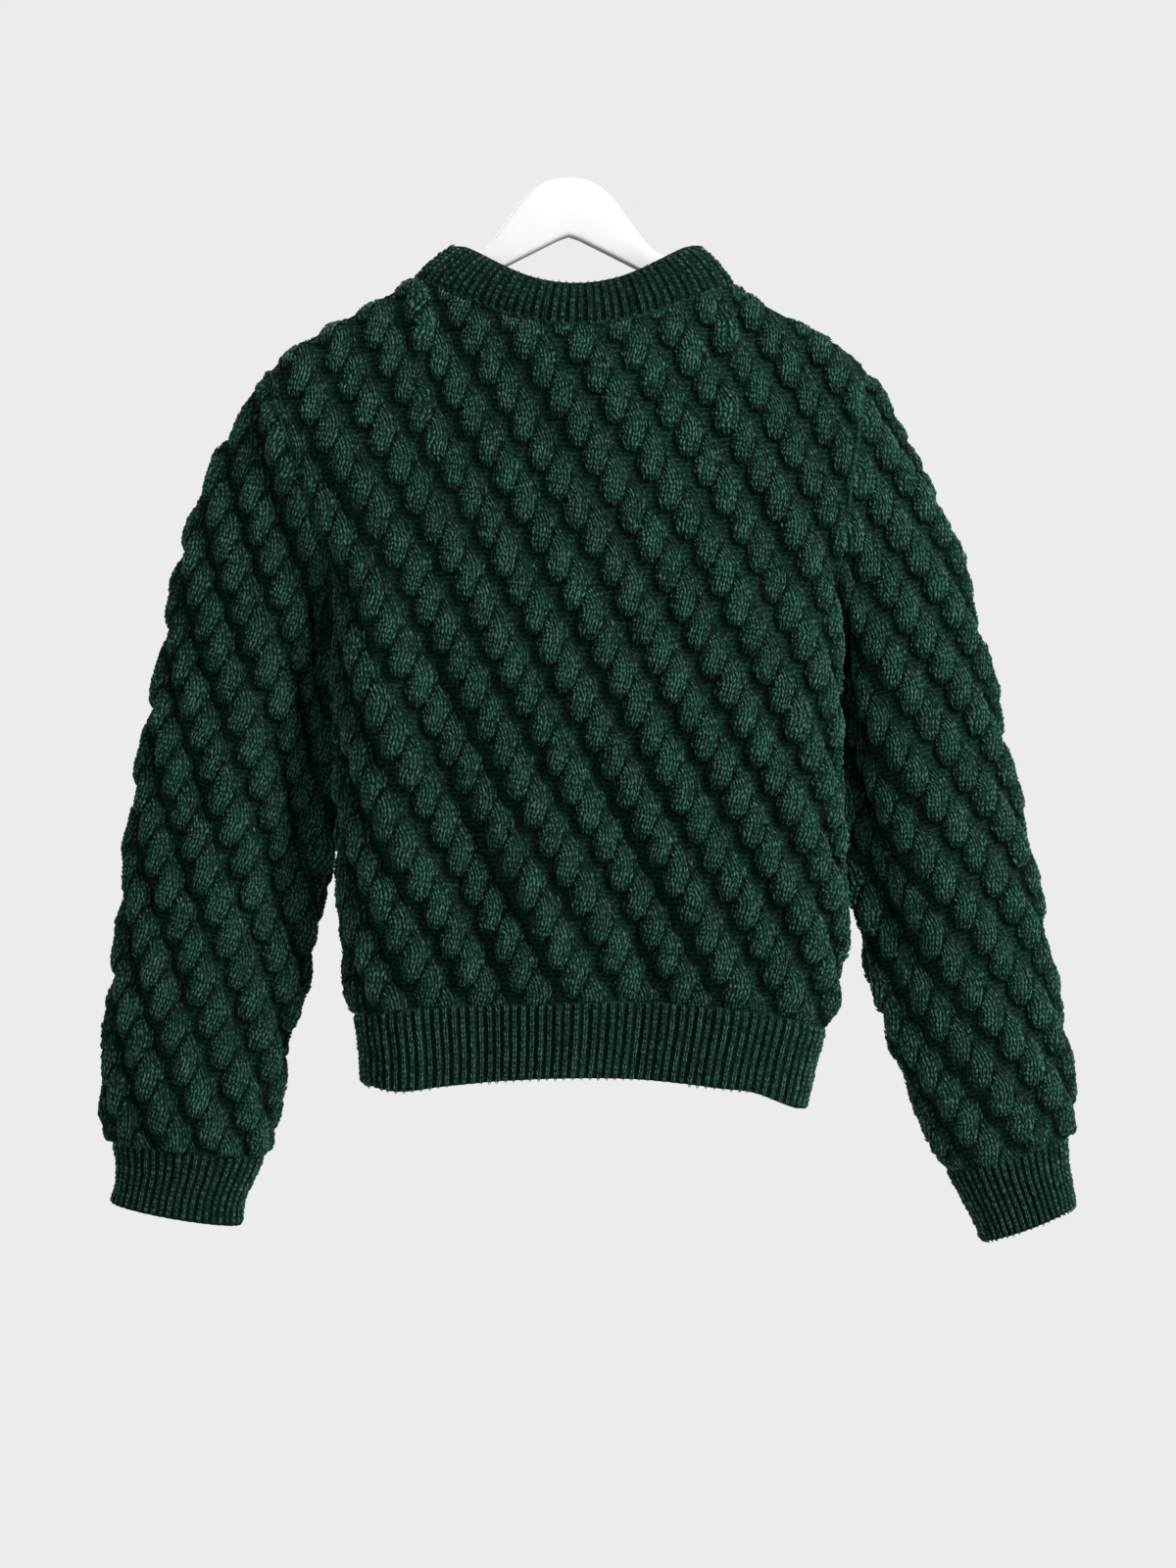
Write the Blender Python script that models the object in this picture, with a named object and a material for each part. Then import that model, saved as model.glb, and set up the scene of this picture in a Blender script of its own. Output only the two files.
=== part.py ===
"""Cable-knit sweater with ribbed neck, hem and cuffs, held up by a plain hanger.

Every length below is in millimetres and is scaled to metres as the meshes are made.
+X is the viewer's right, +Z is up and the near side of the cloth faces -Y.
The origin is the top of the hanger, where a hook would screw in.
Each cloth piece is one closed wall: a relief of cables or ribs on the outside,
a plain face on the inside, and rims along its seams.
"""
import math

import bmesh
import bpy
import numpy as np

MM = 0.001

WALL = 3.6
SEAM_HALF = 0.2
SEAM_DEPTH = 0.2
CABLE_RISE = 4.6
CABLE_PITCH = 36.0
CABLE_SLOPE = 0.515
CABLE_SHAPE = (0.0, 0.72, 1.0, 0.72)
SLEEVE_SHAPE = (0.0, 0.95, 0.95)
SEAM_FADE = 0.35
FADE_LENGTH = 14.0

HANGER_TOP = (
    # distance from the middle, height of the upper edge
    (0.0, 0.0), (8.0, -0.6), (14.0, -2.0), (20.0, -4.6), (26.0, -9.0), (31.5, -14.5),
    (37.0, -21.5), (45.5, -33.5), (54.0, -45.0), (60.0, -51.0), (70.0, -57.6), (82.0, -65.0),
    (108.0, -80.0), (133.0, -93.5), (168.0, -112.5), (190.0, -125.0), (200.0, -131.8),
)
HANGER_UNDER = (
    # distance from the middle, height of the lower edge
    (0.0, -42.0), (6.0, -43.8), (30.0, -55.8), (58.0, -70.0), (108.0, -96.5),
    (168.0, -127.0), (190.0, -138.5), (200.0, -143.5),
)
HANGER_HALF_THICK = 6.0
HANGER_END = 200.0

SHOULDER_GAP = 0.9
TIP_LEFT = (-215.0, -139.0)
TIP_RIGHT = (211.0, -139.0)
UNDERARM_V = 1.0 / 3.0
UNDERARM_LEFT_X = -162.0
UNDERARM_RIGHT_X = 189.0
ARMHOLE_DEPTH = 28.0
SHOULDER_ROUND = 18.0
CHEST_DROP = 210.0
SIDE_ROUND = 0.095

BODY_ROWS = (
    # height, left side, right side, near depth, far depth
    (-292.0, -162.0, 189.0, 49.0, 45.0),
    (-320.0, -162.5, 189.3, 49.5, 45.5),
    (-345.0, -162.5, 189.3, 50.0, 46.0),
    (-380.0, -161.5, 188.8, 50.0, 46.0),
    (-415.0, -160.0, 188.5, 50.0, 46.0),
    (-480.0, -158.5, 191.0, 49.0, 45.0),
    (-530.0, -157.5, 193.5, 48.0, 44.0),
    (-560.0, -154.5, 190.0, 47.0, 43.0),
    (-600.0, -150.0, 183.0, 45.0, 41.0),
    (-625.0, -146.5, 176.0, 43.5, 40.0),
    (-664.0, -146.0, 167.0, 43.0, 40.0),
)
HEM_SEAM = (
    # place across from left to right, near height, far height
    (0.0, -598.0, -598.0), (0.15, -590.5, -593.0), (0.35, -588.0, -591.0), (0.55, -585.5, -590.0),
    (0.75, -589.5, -592.0), (0.88, -595.5, -598.0), (1.0, -607.0, -607.0),
)
HEM_EDGE = (
    # place across from left to right, near height, far height
    (0.0, -645.0, -645.0), (0.08, -649.0, -645.5), (0.17, -645.5, -645.0), (0.30, -641.5, -643.0),
    (0.50, -638.5, -641.5), (0.66, -641.0, -643.0), (0.78, -645.5, -647.0), (0.90, -651.5, -653.0),
    (0.96, -659.0, -659.0), (1.0, -664.0, -664.0),
)
UNDERARM_LEFT = (
    UNDERARM_LEFT_X, TIP_LEFT[1] + (HEM_SEAM[0][1] + SEAM_HALF - TIP_LEFT[1]) * UNDERARM_V)
UNDERARM_RIGHT = (
    UNDERARM_RIGHT_X, TIP_RIGHT[1] + (HEM_SEAM[-1][1] + SEAM_HALF - TIP_RIGHT[1]) * UNDERARM_V)
BODY_FOLDS = (
    # side, place across, width, start height, end height, rise at the end
    (1, 0.13, 0.050, -230.0, -420.0, 3.0),
    (1, 0.30, 0.055, -330.0, -590.0, -3.5),
    (1, 0.47, 0.050, -380.0, -600.0, 3.0),
    (1, 0.62, 0.050, -300.0, -590.0, -3.0),
    (1, 0.80, 0.055, -340.0, -590.0, 3.0),
    (-1, 0.22, 0.055, -300.0, -580.0, 3.5),
    (-1, 0.42, 0.055, -260.0, -590.0, -4.0),
    (-1, 0.60, 0.050, -340.0, -590.0, 3.5),
    (-1, 0.78, 0.055, -300.0, -590.0, -3.0),
)

NECK_LEFT = -109.0
NECK_RIGHT = 117.0
NECK_NEAR_DEPTH = 48.0
NECK_FAR_DEPTH = 43.0
NECK_NEAR_DROP = 35.0
NECK_FAR_DROP = 62.0
NECK_POINTED = 1.15
NECK_NEAR_DIP = 2.5
NECK_FAR_DIP = 3.0
NECK_LIFT = 1.8
NECK_GAP_HALF = 0.4
BAND_TOP_LEFT = -81.5
BAND_TOP_RIGHT = 92.0
BAND_TOP_HEIGHT = -49.0
BAND_TOP_NEAR_DEPTH = 42.0
BAND_TOP_FAR_DEPTH = 37.0
BAND_TOP_NEAR_DROP = 32.5
BAND_TOP_FAR_DROP = 58.0
BAND_BULGE = 2.5
BAND_RIBS = 44
BAND_INNER = 66
BAND_RISE = 2.4

HEM_RIBS = 30
HEM_RISE = 2.2
CUFF_RIBS = 22
CUFF_RISE = 2.0

SLEEVE_CABLES = 10
SLEEVE_LEFT_SLOPE = 0.53
SLEEVE_RIGHT_SLOPE = 0.47
SLEEVE_LEFT = (
    # outer x, outer z, inner x, inner z, middle y, half depth
    (-215.0, -139.0, -162.0, -292.0, 0.0, 28.0),
    (-230.5, -169.0, -167.0, -321.0, 16.0, 30.5),
    (-250.5, -199.5, -167.5, -352.5, 24.0, 33.0),
    (-265.5, -235.5, -164.5, -382.0, 29.0, 35.0),
    (-279.5, -280.0, -163.5, -411.0, 32.0, 36.0),
    (-289.5, -333.0, -164.5, -439.0, 33.0, 37.0),
    (-299.0, -379.0, -169.0, -462.5, 33.0, 38.0),
    (-308.0, -428.0, -173.5, -485.0, 33.0, 38.0),
    (-315.0, -477.0, -182.0, -515.0, 32.0, 38.5),
    (-319.5, -525.5, -187.0, -543.5, 31.0, 39.0),
    (-325.0, -568.0, -193.5, -574.5, 30.0, 39.5),
    (-330.0, -610.0, -202.0, -606.0, 30.0, 39.5),
    (-333.0, -648.0, -210.0, -645.5, 30.0, 38.5),
    (-331.0, -679.5, -219.0, -684.0, 30.0, 35.0),
    (-327.0, -690.0, -222.5, -702.0, 30.0, 31.0),
)
SLEEVE_RIGHT = (
    # outer x, outer z, inner x, inner z, middle y, half depth
    (211.0, -139.0, 189.0, -295.0, 0.0, 28.0),
    (227.5, -168.0, 193.5, -322.0, 16.0, 30.5),
    (247.5, -199.5, 195.0, -356.5, 24.0, 33.0),
    (264.0, -230.5, 193.0, -388.5, 29.0, 35.0),
    (279.0, -268.5, 191.5, -420.0, 32.0, 36.0),
    (290.0, -308.5, 193.0, -450.0, 33.0, 37.0),
    (301.0, -350.0, 196.5, -478.5, 33.5, 38.0),
    (310.0, -395.5, 203.5, -505.0, 33.0, 38.0),
    (320.0, -438.5, 210.5, -531.5, 32.0, 38.5),
    (329.0, -480.5, 218.5, -554.5, 31.0, 39.0),
    (337.5, -522.5, 225.0, -580.5, 30.0, 39.5),
    (343.5, -560.5, 231.5, -601.5, 30.0, 39.5),
    (351.5, -598.5, 239.5, -626.0, 30.0, 39.5),
    (358.5, -637.0, 250.0, -650.5, 30.0, 38.5),
    (361.5, -668.5, 261.5, -680.0, 30.0, 35.5),
    (358.5, -688.0, 276.0, -712.0, 30.0, 31.0),
)
CUFF_LEFT = (
    # outer x, outer z, inner x, inner z, middle y, half depth
    (-327.0, -690.0, -222.5, -702.0, 30.0, 31.0),
    (-324.5, -707.0, -230.0, -717.5, 30.0, 28.5),
    (-325.5, -722.0, -237.0, -733.0, 30.0, 27.5),
    (-329.0, -735.5, -239.0, -751.5, 30.0, 28.0),
)
CUFF_RIGHT = (
    # outer x, outer z, inner x, inner z, middle y, half depth
    (358.5, -688.0, 276.0, -712.0, 30.0, 31.0),
    (359.0, -706.0, 285.0, -728.0, 30.0, 28.5),
    (362.0, -723.0, 295.0, -747.0, 30.0, 27.5),
    (364.5, -737.5, 301.5, -762.0, 30.0, 28.0),
)


def table(rows):
    """Return the rows of a table as an array whose columns are read by position."""
    return np.array(rows, dtype=float)


def smooth(at, places, values):
    """Cubic curve through a table, held flat beyond its ends."""
    places = np.asarray(places, dtype=float)
    values = np.asarray(values, dtype=float)
    at = np.clip(np.asarray(at, dtype=float), places[0], places[-1])
    steps = np.diff(places)
    slopes = np.diff(values) / steps
    tangents = np.empty(len(places))
    tangents[0] = slopes[0]
    tangents[-1] = slopes[-1]
    tangents[1:-1] = (slopes[:-1] * steps[1:] + slopes[1:] * steps[:-1]) / (steps[:-1] + steps[1:])
    index = np.clip(np.searchsorted(places, at, side="right") - 1, 0, len(steps) - 1)
    width = steps[index]
    part = (at - places[index]) / width
    square = part * part
    cube = square * part
    return (
        (2 * cube - 3 * square + 1) * values[index]
        + (cube - 2 * square + part) * width * tangents[index]
        + (3 * square - 2 * cube) * values[index + 1]
        + (cube - square) * width * tangents[index + 1]
    )


def ease(value):
    """Smooth step from 0 to 1."""
    value = np.clip(value, 0.0, 1.0)
    return value * value * (3 - 2 * value)


def hanger_top(x):
    """Height of the hanger's upper edge."""
    rows = table(HANGER_TOP)
    return np.interp(np.abs(x), rows[:, 0], rows[:, 1])


def shoulder_line(x):
    """Height of the shoulder seam, resting on the hanger and dropping to the shoulder tips."""
    lifted = smooth(np.abs(x), table(HANGER_TOP)[11:, 0], table(HANGER_TOP)[11:, 1])
    lifted = lifted + WALL + SHOULDER_GAP
    lifted = lifted + NECK_LIFT * ease((145.0 - np.abs(x)) / 35.0)
    beyond = np.clip((np.abs(x) - HANGER_END - 1.0) / 10.0, 0.0, None)
    return np.maximum(lifted - (lifted - TIP_LEFT[1]) * np.minimum(beyond, 1.0), TIP_LEFT[1])


def neck_place(x):
    """Place across the neck opening, -1 at its left corner and 1 at its right one."""
    middle = (NECK_LEFT + NECK_RIGHT) / 2
    half = (NECK_RIGHT - NECK_LEFT) / 2
    return (x - middle) / half


def neck_side_height(place):
    """Height of the neck seam's corners, blended across."""
    left = shoulder_line(np.array(NECK_LEFT))
    right = shoulder_line(np.array(NECK_RIGHT))
    return left + (right - left) * (place + 1) / 2


def panel_top(x, side):
    """Height and depth of a panel's upper edge and how far inside the neck it is."""
    place = np.clip(neck_place(x), -1.0, 1.0)
    rise = np.sqrt(np.clip(1 - place * place, 0.0, 1.0))
    drop = NECK_NEAR_DROP if side > 0 else NECK_FAR_DROP
    depth = NECK_NEAR_DEPTH if side > 0 else NECK_FAR_DEPTH
    inside = np.abs(neck_place(x)) < 1
    dip = NECK_NEAR_DIP if side > 0 else NECK_FAR_DIP
    neck_height = neck_side_height(place) - drop * rise ** dip
    height = np.where(inside, neck_height, shoulder_line(x))
    return height, depth * rise ** NECK_POINTED, ease((1 - np.abs(neck_place(x))) / 0.14)


def armhole_depth(drop, across, inset):
    """Half depth of the armhole at a distance below the shoulder tip."""
    left = TIP_LEFT[1] - UNDERARM_LEFT[1]
    right = TIP_RIGHT[1] - UNDERARM_RIGHT[1]
    height = left + (right - left) * across
    part = (drop - height / 2) / (height / 2 - inset)
    return SEAM_DEPTH + (ARMHOLE_DEPTH - inset) * np.sqrt(np.clip(1 - part * part, 0.0, 1.0))


def side_edges(z, inset):
    """Left and right limits of the body at a height."""
    rows = table(BODY_ROWS)
    left_low = smooth(-z, -rows[:, 0], rows[:, 1])
    right_low = smooth(-z, -rows[:, 0], rows[:, 2])
    left_part = np.clip((TIP_LEFT[1] - z) / (TIP_LEFT[1] - UNDERARM_LEFT[1]), 0.0, 1.0)
    right_part = np.clip((TIP_RIGHT[1] - z) / (TIP_RIGHT[1] - UNDERARM_RIGHT[1]), 0.0, 1.0)
    left_high = TIP_LEFT[0] + (UNDERARM_LEFT[0] - TIP_LEFT[0]) * left_part
    right_high = TIP_RIGHT[0] + (UNDERARM_RIGHT[0] - TIP_RIGHT[0]) * right_part
    left = np.where(z > UNDERARM_LEFT[1], left_high, left_low)
    right = np.where(z > UNDERARM_RIGHT[1], right_high, right_low)
    left = left + inset * ease((UNDERARM_LEFT[1] - z) / 2.0)
    right = right - inset * ease((UNDERARM_RIGHT[1] - z) / 2.0)
    return left, right


def folds(across, z, side):
    """Soft upright folds of a panel, as a change of its depth."""
    change = np.zeros_like(z)
    for fold_side, place, width, start, end, rise in BODY_FOLDS:
        if fold_side == side:
            grown = ease((start - z) / (start - end))
            change = change + rise * grown * np.exp(-((across - place) / width) ** 2)
    return change


def full_depth(across, z, side, inset):
    """Depth of the body away from its shoulders, neck and side seams."""
    rows = table(BODY_ROWS)
    middle = smooth(-z, -rows[:, 0], rows[:, 3] if side > 0 else rows[:, 4])
    profile = 0.66 + 0.34 * np.sin(math.pi * np.clip(across, 0.0, 1.0)) ** 0.8
    return middle * profile + folds(across, z, side) - inset


def edge_weight(across):
    """1 on a side seam, falling to 0 past the rounding beside it."""
    part = np.clip(np.minimum(across, 1 - across) / SIDE_ROUND, 0.0, 1.0)
    return 1 - np.sqrt(np.clip(1 - (1 - part) ** 2, 0.0, 1.0))


def hem_height(across, side, rows):
    """Height of the hem's seam or edge."""
    rows = table(rows)
    return smooth(across, rows[:, 0], rows[:, 1] if side > 0 else rows[:, 2])


def panel_point(u, v, side, inset):
    """Point of a body panel; u runs left to right as seen from outside and v runs down."""
    u, v = np.broadcast_arrays(np.asarray(u, dtype=float), np.asarray(v, dtype=float))
    across = u if side > 0 else 1 - u
    top_x = TIP_LEFT[0] + (TIP_RIGHT[0] - TIP_LEFT[0]) * across
    top, top_depth, inside = panel_top(top_x, side)
    bottom = hem_height(across, side, HEM_SEAM) + SEAM_HALF
    neck_gap = NECK_GAP_HALF * ease((1 - np.abs(neck_place(top_x))) / 0.05)
    outer_top = top - neck_gap
    outer = outer_top + (bottom - outer_top) * v
    edge = edge_weight(across)
    lowered = -inset * (1 - inside) * np.clip(1 - v / UNDERARM_V, 0.0, 1.0)
    raised = inset * edge * np.clip(1 - np.abs(v - UNDERARM_V) / 0.1, 0.0, 1.0)
    z = outer + lowered + raised
    drop = outer_top - z
    inner_drop = np.clip(drop - inset * (1 - inside), 0.0, None)
    left, right = side_edges(z, inset)
    x = left + (right - left) * across
    start = np.clip(top_depth - inset, 0.0, None) + SEAM_DEPTH
    round_size = SHOULDER_ROUND - inset
    part = np.clip(inner_drop / SHOULDER_ROUND, 0.0, 1.0)
    rounding = round_size * np.sqrt(1 - (1 - part) ** 2) * (1 - inside)
    grown = 1 - (1 - np.clip(inner_drop / CHEST_DROP, 0.0, 1.0)) ** 2
    gap = full_depth(across, z, side, inset) - start - round_size * (1 - inside)
    middle = start + rounding + gap * grown
    depth = armhole_depth(drop, across, inset) * edge + middle * (1 - edge)
    return np.stack([x, -side * depth, z], axis=-1)


def hem_point(u, v, side, inset):
    """Point of a hem half; u and v run as on the panel above it."""
    u, v = np.broadcast_arrays(np.asarray(u, dtype=float), np.asarray(v, dtype=float))
    across = u if side > 0 else 1 - u
    top = hem_height(across, side, HEM_SEAM) - SEAM_HALF
    bottom = hem_height(across, side, HEM_EDGE)
    z = top + (bottom - top) * v
    left, right = side_edges(z, 0.0)
    x = (left + inset) + (right - left - 2 * inset) * across
    edge = edge_weight(across)
    depth = SEAM_DEPTH * edge + full_depth(across, z, side, inset) * (1 - edge)
    return np.stack([x, -side * depth, z], axis=-1)


def outward(shape, u, v, side):
    """Outward unit normals of a panel-like shape, worked out from nearby points."""
    step = 1e-3
    along = shape(np.clip(u + step, 0, 1), v, side, 0.0) - shape(np.clip(u - step, 0, 1), v, side, 0.0)
    down = shape(u, np.clip(v + step, 0, 1), side, 0.0) - shape(u, np.clip(v - step, 0, 1), side, 0.0)
    normal = np.cross(down, along)
    length = np.linalg.norm(normal, axis=-1, keepdims=True)
    return normal / np.maximum(length, 1e-9)


def cable_height(phase, shape):
    """Relief of the cables, 0 to 1, from the count of columns."""
    place = np.asarray(phase, dtype=float) % len(shape)
    return np.interp(place, range(len(shape) + 1), shape + shape[:1])


def loop_faces(outer, inner):
    """Triangles between two closed loops given as lists of (place round the loop, vertex)."""
    faces = []
    first = outer + [(outer[0][0] + 4.0, outer[0][1])]
    second = inner + [(inner[0][0] + 4.0, inner[0][1])]
    i = 0
    j = 0
    while i < len(first) - 1 or j < len(second) - 1:
        go_first = j == len(second) - 1
        if i < len(first) - 1 and j < len(second) - 1:
            go_first = abs(first[i + 1][0] - second[j][0]) <= abs(second[j + 1][0] - first[i][0])
        if go_first:
            faces.append((first[i][1], first[i + 1][1], second[j][1]))
            i += 1
        else:
            faces.append((first[i][1], second[j + 1][1], second[j][1]))
            j += 1
    return faces


def finish_mesh(name, points, faces, material, collection):
    """Make one closed, outward mesh object from millimetre points."""
    mesh = bpy.data.meshes.new(name)
    mesh.from_pydata([tuple(float(c) * MM for c in point) for point in points], [], faces)
    work = bmesh.new()
    work.from_mesh(mesh)
    bmesh.ops.recalc_face_normals(work, faces=work.faces)
    if work.calc_volume(signed=True) < 0:
        bmesh.ops.reverse_faces(work, faces=work.faces)
    for face in work.faces:
        face.smooth = True
    work.to_mesh(mesh)
    work.free()
    mesh.materials.append(material)
    thing = bpy.data.objects.new(name, mesh)
    collection.objects.link(thing)
    return thing


def clean_face(corners):
    """Drop repeated corners; return None for what is left of a vanished face."""
    kept = []
    for corner in corners:
        if corner not in kept:
            kept.append(corner)
    return tuple(kept) if len(kept) >= 3 else None


def boundary_direction(normal, u, v, side, corner_rows):
    """Keep the relief of a rim vertex within the plane of its seam; 0 at corners."""
    at_side = u < 1e-9 or u > 1 - 1e-9
    at_top = v < 1e-9
    at_bottom = v > 1 - 1e-9
    if at_side and (at_top or at_bottom or abs(v - UNDERARM_V) < 1e-6 and corner_rows):
        return normal * 0.0
    kept = normal.copy()
    if at_side and corner_rows and v < UNDERARM_V:
        return np.array([0.0, -float(side), 0.0])
    if at_side:
        kept[1] = 0.0
        kept[2] = 0.0
    elif at_bottom or (at_top and not corner_rows):
        kept[2] = 0.0
    elif at_top:
        across = u if side > 0 else 1 - u
        x = TIP_LEFT[0] + (TIP_RIGHT[0] - TIP_LEFT[0]) * across
        if abs(neck_place(x)) > 1 + 1e-6:
            return np.array([0.0, 0.0, 1.0])
        if abs(neck_place(x)) > 1 - 1e-6:
            return normal * 0.0
        kept[2] = 0.0
    length = np.linalg.norm(kept)
    return kept / length if length > 1e-6 else normal * 0.0


def panel_rows():
    """Places of the rows down a body panel, close together over the shoulder's rounding."""
    start = [0.0, 0.006, 0.02, 0.044, 0.082, 0.123, 0.164, 0.205, 0.24, 0.268, 0.293, 0.313, 0.327]
    lower = list(np.linspace(UNDERARM_V, 1.0, 17))
    return np.array(start + lower)


def inner_faces(ids):
    """Quads of a regular inner grid."""
    faces = []
    for i in range(ids.shape[0] - 1):
        for j in range(ids.shape[1] - 1):
            faces.append((ids[i, j], ids[i, j + 1], ids[i + 1, j + 1], ids[i + 1, j]))
    return faces


def side_loop(top, right, bottom, left):
    """One loop of (place, vertex) from the four sides, each given with its places 0 to 1."""
    loop = [(place, vertex) for place, vertex in top[:-1]]
    loop += [(1 + place, vertex) for place, vertex in right[:-1]]
    loop += [(2 + (1 - place), vertex) for place, vertex in reversed(bottom[1:])]
    loop += [(3 + (1 - place), vertex) for place, vertex in reversed(left[1:])]
    return loop


def panel(name, side, material, collection):
    """Body panel with diagonal cables: columns follow the cables and stop at the seams."""
    rows = panel_rows()
    fine = np.linspace(0.0, 1.0, 481)
    column_step = CABLE_PITCH / len(CABLE_SHAPE)
    lays = []
    for v in rows:
        line = panel_point(fine, v, side, 0.0)
        steps = np.hypot(np.diff(line[:, 0]), np.diff(line[:, 1]))
        arc = np.concatenate([[0.0], np.cumsum(steps)])
        lays.append(arc - np.interp(0.5, fine, arc) + CABLE_SLOPE * line[:, 2])
    first = math.floor(min(lay[0] for lay in lays) / column_step)
    last = math.ceil(max(lay[-1] for lay in lays) / column_step)
    points = []
    ids = []
    row_ends = []
    for v, lay in zip(rows, lays):
        picks = []
        for column in range(first, last + 1):
            want = column * column_step
            if want < lay[0] + 3.2:
                picks.append(0.0)
            elif want > lay[-1] - 3.2:
                picks.append(1.0)
            else:
                picks.append(float(np.interp(want, lay, fine)))
        picks = np.array(picks)
        if v == 0.0:
            for corner in (NECK_LEFT, NECK_RIGHT):
                across = (corner - TIP_LEFT[0]) / (TIP_RIGHT[0] - TIP_LEFT[0])
                place = across if side > 0 else 1 - across
                nearest = int(np.argmin(np.abs(picks - place)))
                toward = 1 if place < 0.5 else -1
                picks[nearest] = place
                picks[nearest + toward] = place + toward * 0.011
                picks[nearest + 2 * toward] = place + toward * 0.031
        line = panel_point(picks, v, side, 0.0)
        normals = outward(panel_point, np.clip(picks, 1e-3, 1 - 1e-3), max(v, 1e-3), side)
        row_ids = []
        known = {}
        for column, pick, point, normal in zip(range(first, last + 1), picks, line, normals):
            if pick in known:
                row_ids.append(known[pick])
                continue
            phase = column if 0 < pick < 1 else lay[0 if pick == 0 else -1] / column_step
            rise = CABLE_RISE * float(cable_height(phase, CABLE_SHAPE))
            top_gap = v * 480.0
            bottom_gap = (1 - v) * 480.0
            side_gap = min(pick, 1 - pick) * 360.0 if v < UNDERARM_V + 0.02 else FADE_LENGTH
            gap = min(top_gap, bottom_gap, side_gap)
            rise *= SEAM_FADE + (1 - SEAM_FADE) * float(ease(gap / FADE_LENGTH))
            rise *= float(ease((abs(v - UNDERARM_V) * 480.0 + min(pick, 1 - pick) * 700.0) / 45.0))
            if pick in (0.0, 1.0) or v in (0.0, 1.0):
                normal = boundary_direction(normal, pick, v, side, True)
            known[pick] = len(points)
            row_ids.append(len(points))
            points.append(point + normal * rise)
        ids.append(row_ids)
        row_ends.append(list(known.items()))
    faces = []
    for upper, lower in zip(ids[:-1], ids[1:]):
        for j in range(len(upper) - 1):
            face = clean_face((upper[j], upper[j + 1], lower[j + 1], lower[j]))
            if face:
                faces.append(face)
    corners = [(corner - TIP_LEFT[0]) / (TIP_RIGHT[0] - TIP_LEFT[0]) for corner in (NECK_LEFT, NECK_RIGHT)]
    if side < 0:
        corners = [1 - corners[1], 1 - corners[0]]
    across = np.concatenate([
        [0.0, 0.022, 0.05, 0.095, 0.16],
        corners[0] + np.array([0.0, 0.011, 0.028, 0.052]),
        np.linspace(corners[0] + 0.08, corners[1] - 0.08, 16),
        corners[1] - np.array([0.052, 0.028, 0.011, 0.0]),
        [1 - 0.15, 1 - 0.095, 1 - 0.05, 1 - 0.022, 1.0],
    ])
    down = np.array([0.0, 0.005, 0.013, 0.03, 0.065, 0.13, 0.19, 0.24, 0.268, 0.293, 0.313, 0.327, UNDERARM_V,
                     0.345, 0.375, 0.42, 0.5, 0.62, 0.75, 0.88, 1.0])
    grid_u, grid_v = np.meshgrid(across, down)
    inner_points = panel_point(grid_u, grid_v, side, WALL)
    start = len(points)
    points += list(inner_points.reshape(-1, 3))
    inner = start + np.arange(grid_u.size).reshape(grid_u.shape)
    faces += inner_faces(inner)
    outer_loop = side_loop(
        row_ends[0],
        [(v, row[-1]) for v, row in zip(rows, ids)],
        row_ends[-1],
        [(v, row[0]) for v, row in zip(rows, ids)],
    )
    inner_loop = side_loop(
        list(zip(across, inner[0])),
        list(zip(down, inner[:, -1])),
        list(zip(across, inner[-1])),
        list(zip(down, inner[:, 0])),
    )
    faces += loop_faces(outer_loop, inner_loop)
    return finish_mesh(name, points, faces, material, collection)


def hem(name, side, material, collection):
    """Ribbed hem half: each rib is a flat crest between narrow grooves."""
    columns = HEM_RIBS * 3 + 1
    even = (np.arange(columns) - 0.5) / (columns - 2)
    arc_u = np.linspace(0.0, 1.0, 481)
    line = hem_point(arc_u, 0.0, side, 0.0)
    arc = np.concatenate([[0.0], np.cumsum(np.hypot(np.diff(line[:, 0]), np.diff(line[:, 1])))])
    places = np.interp(np.clip(even, 0.0, 1.0) * arc[-1], arc, arc_u)
    places[0] = 0.0
    places[-1] = 1.0
    rows = np.array([0.0, 0.5, 1.0])
    grid_u, grid_v = np.meshgrid(places, rows)
    normals = outward(hem_point, np.clip(grid_u, 1e-3, 1 - 1e-3), grid_v, side)
    base = hem_point(grid_u, grid_v, side, 0.0)
    points = []
    for i, v in enumerate(rows):
        for j in range(columns):
            rise = 0.0 if j % 3 == 0 else HEM_RISE * (1.0 if 0 < v < 1 else 0.75)
            normal = normals[i, j].copy()
            normal[2] = 0.0
            normal /= max(np.linalg.norm(normal), 1e-9)
            if j in (0, columns - 1):
                normal *= 0.0
            points.append(base[i, j] + normal * rise)
    outer = np.arange(grid_u.size).reshape(grid_u.shape)
    across = np.concatenate([[0.0], places[2:-2:3], [1.0]])
    inner_u, inner_v = np.meshgrid(across, np.array([0.0, 0.5, 1.0]))
    inner_points = hem_point(inner_u, inner_v, side, WALL)
    inner = len(points) + np.arange(inner_u.size).reshape(inner_u.shape)
    points += list(inner_points.reshape(-1, 3))
    faces = inner_faces(outer) + inner_faces(inner)
    outer_loop = side_loop(
        list(zip(places, outer[0])), list(zip(rows, outer[:, -1])),
        list(zip(places, outer[-1])), list(zip(rows, outer[:, 0])),
    )
    inner_loop = side_loop(
        list(zip(across, inner[0])), list(zip(rows, inner[:, -1])),
        list(zip(across, inner[-1])), list(zip(rows, inner[:, 0])),
    )
    faces += loop_faces(outer_loop, inner_loop)
    return finish_mesh(name, points, faces, material, collection)


def ring_frame(rows, t):
    """Outer end, inner end, middle y and half depth of a tube's ring at a place along it."""
    values = table(rows)
    places = np.linspace(0.0, 1.0, len(values))
    picked = [smooth(t, places, values[:, column]) for column in range(values.shape[1])]
    return picked


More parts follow.
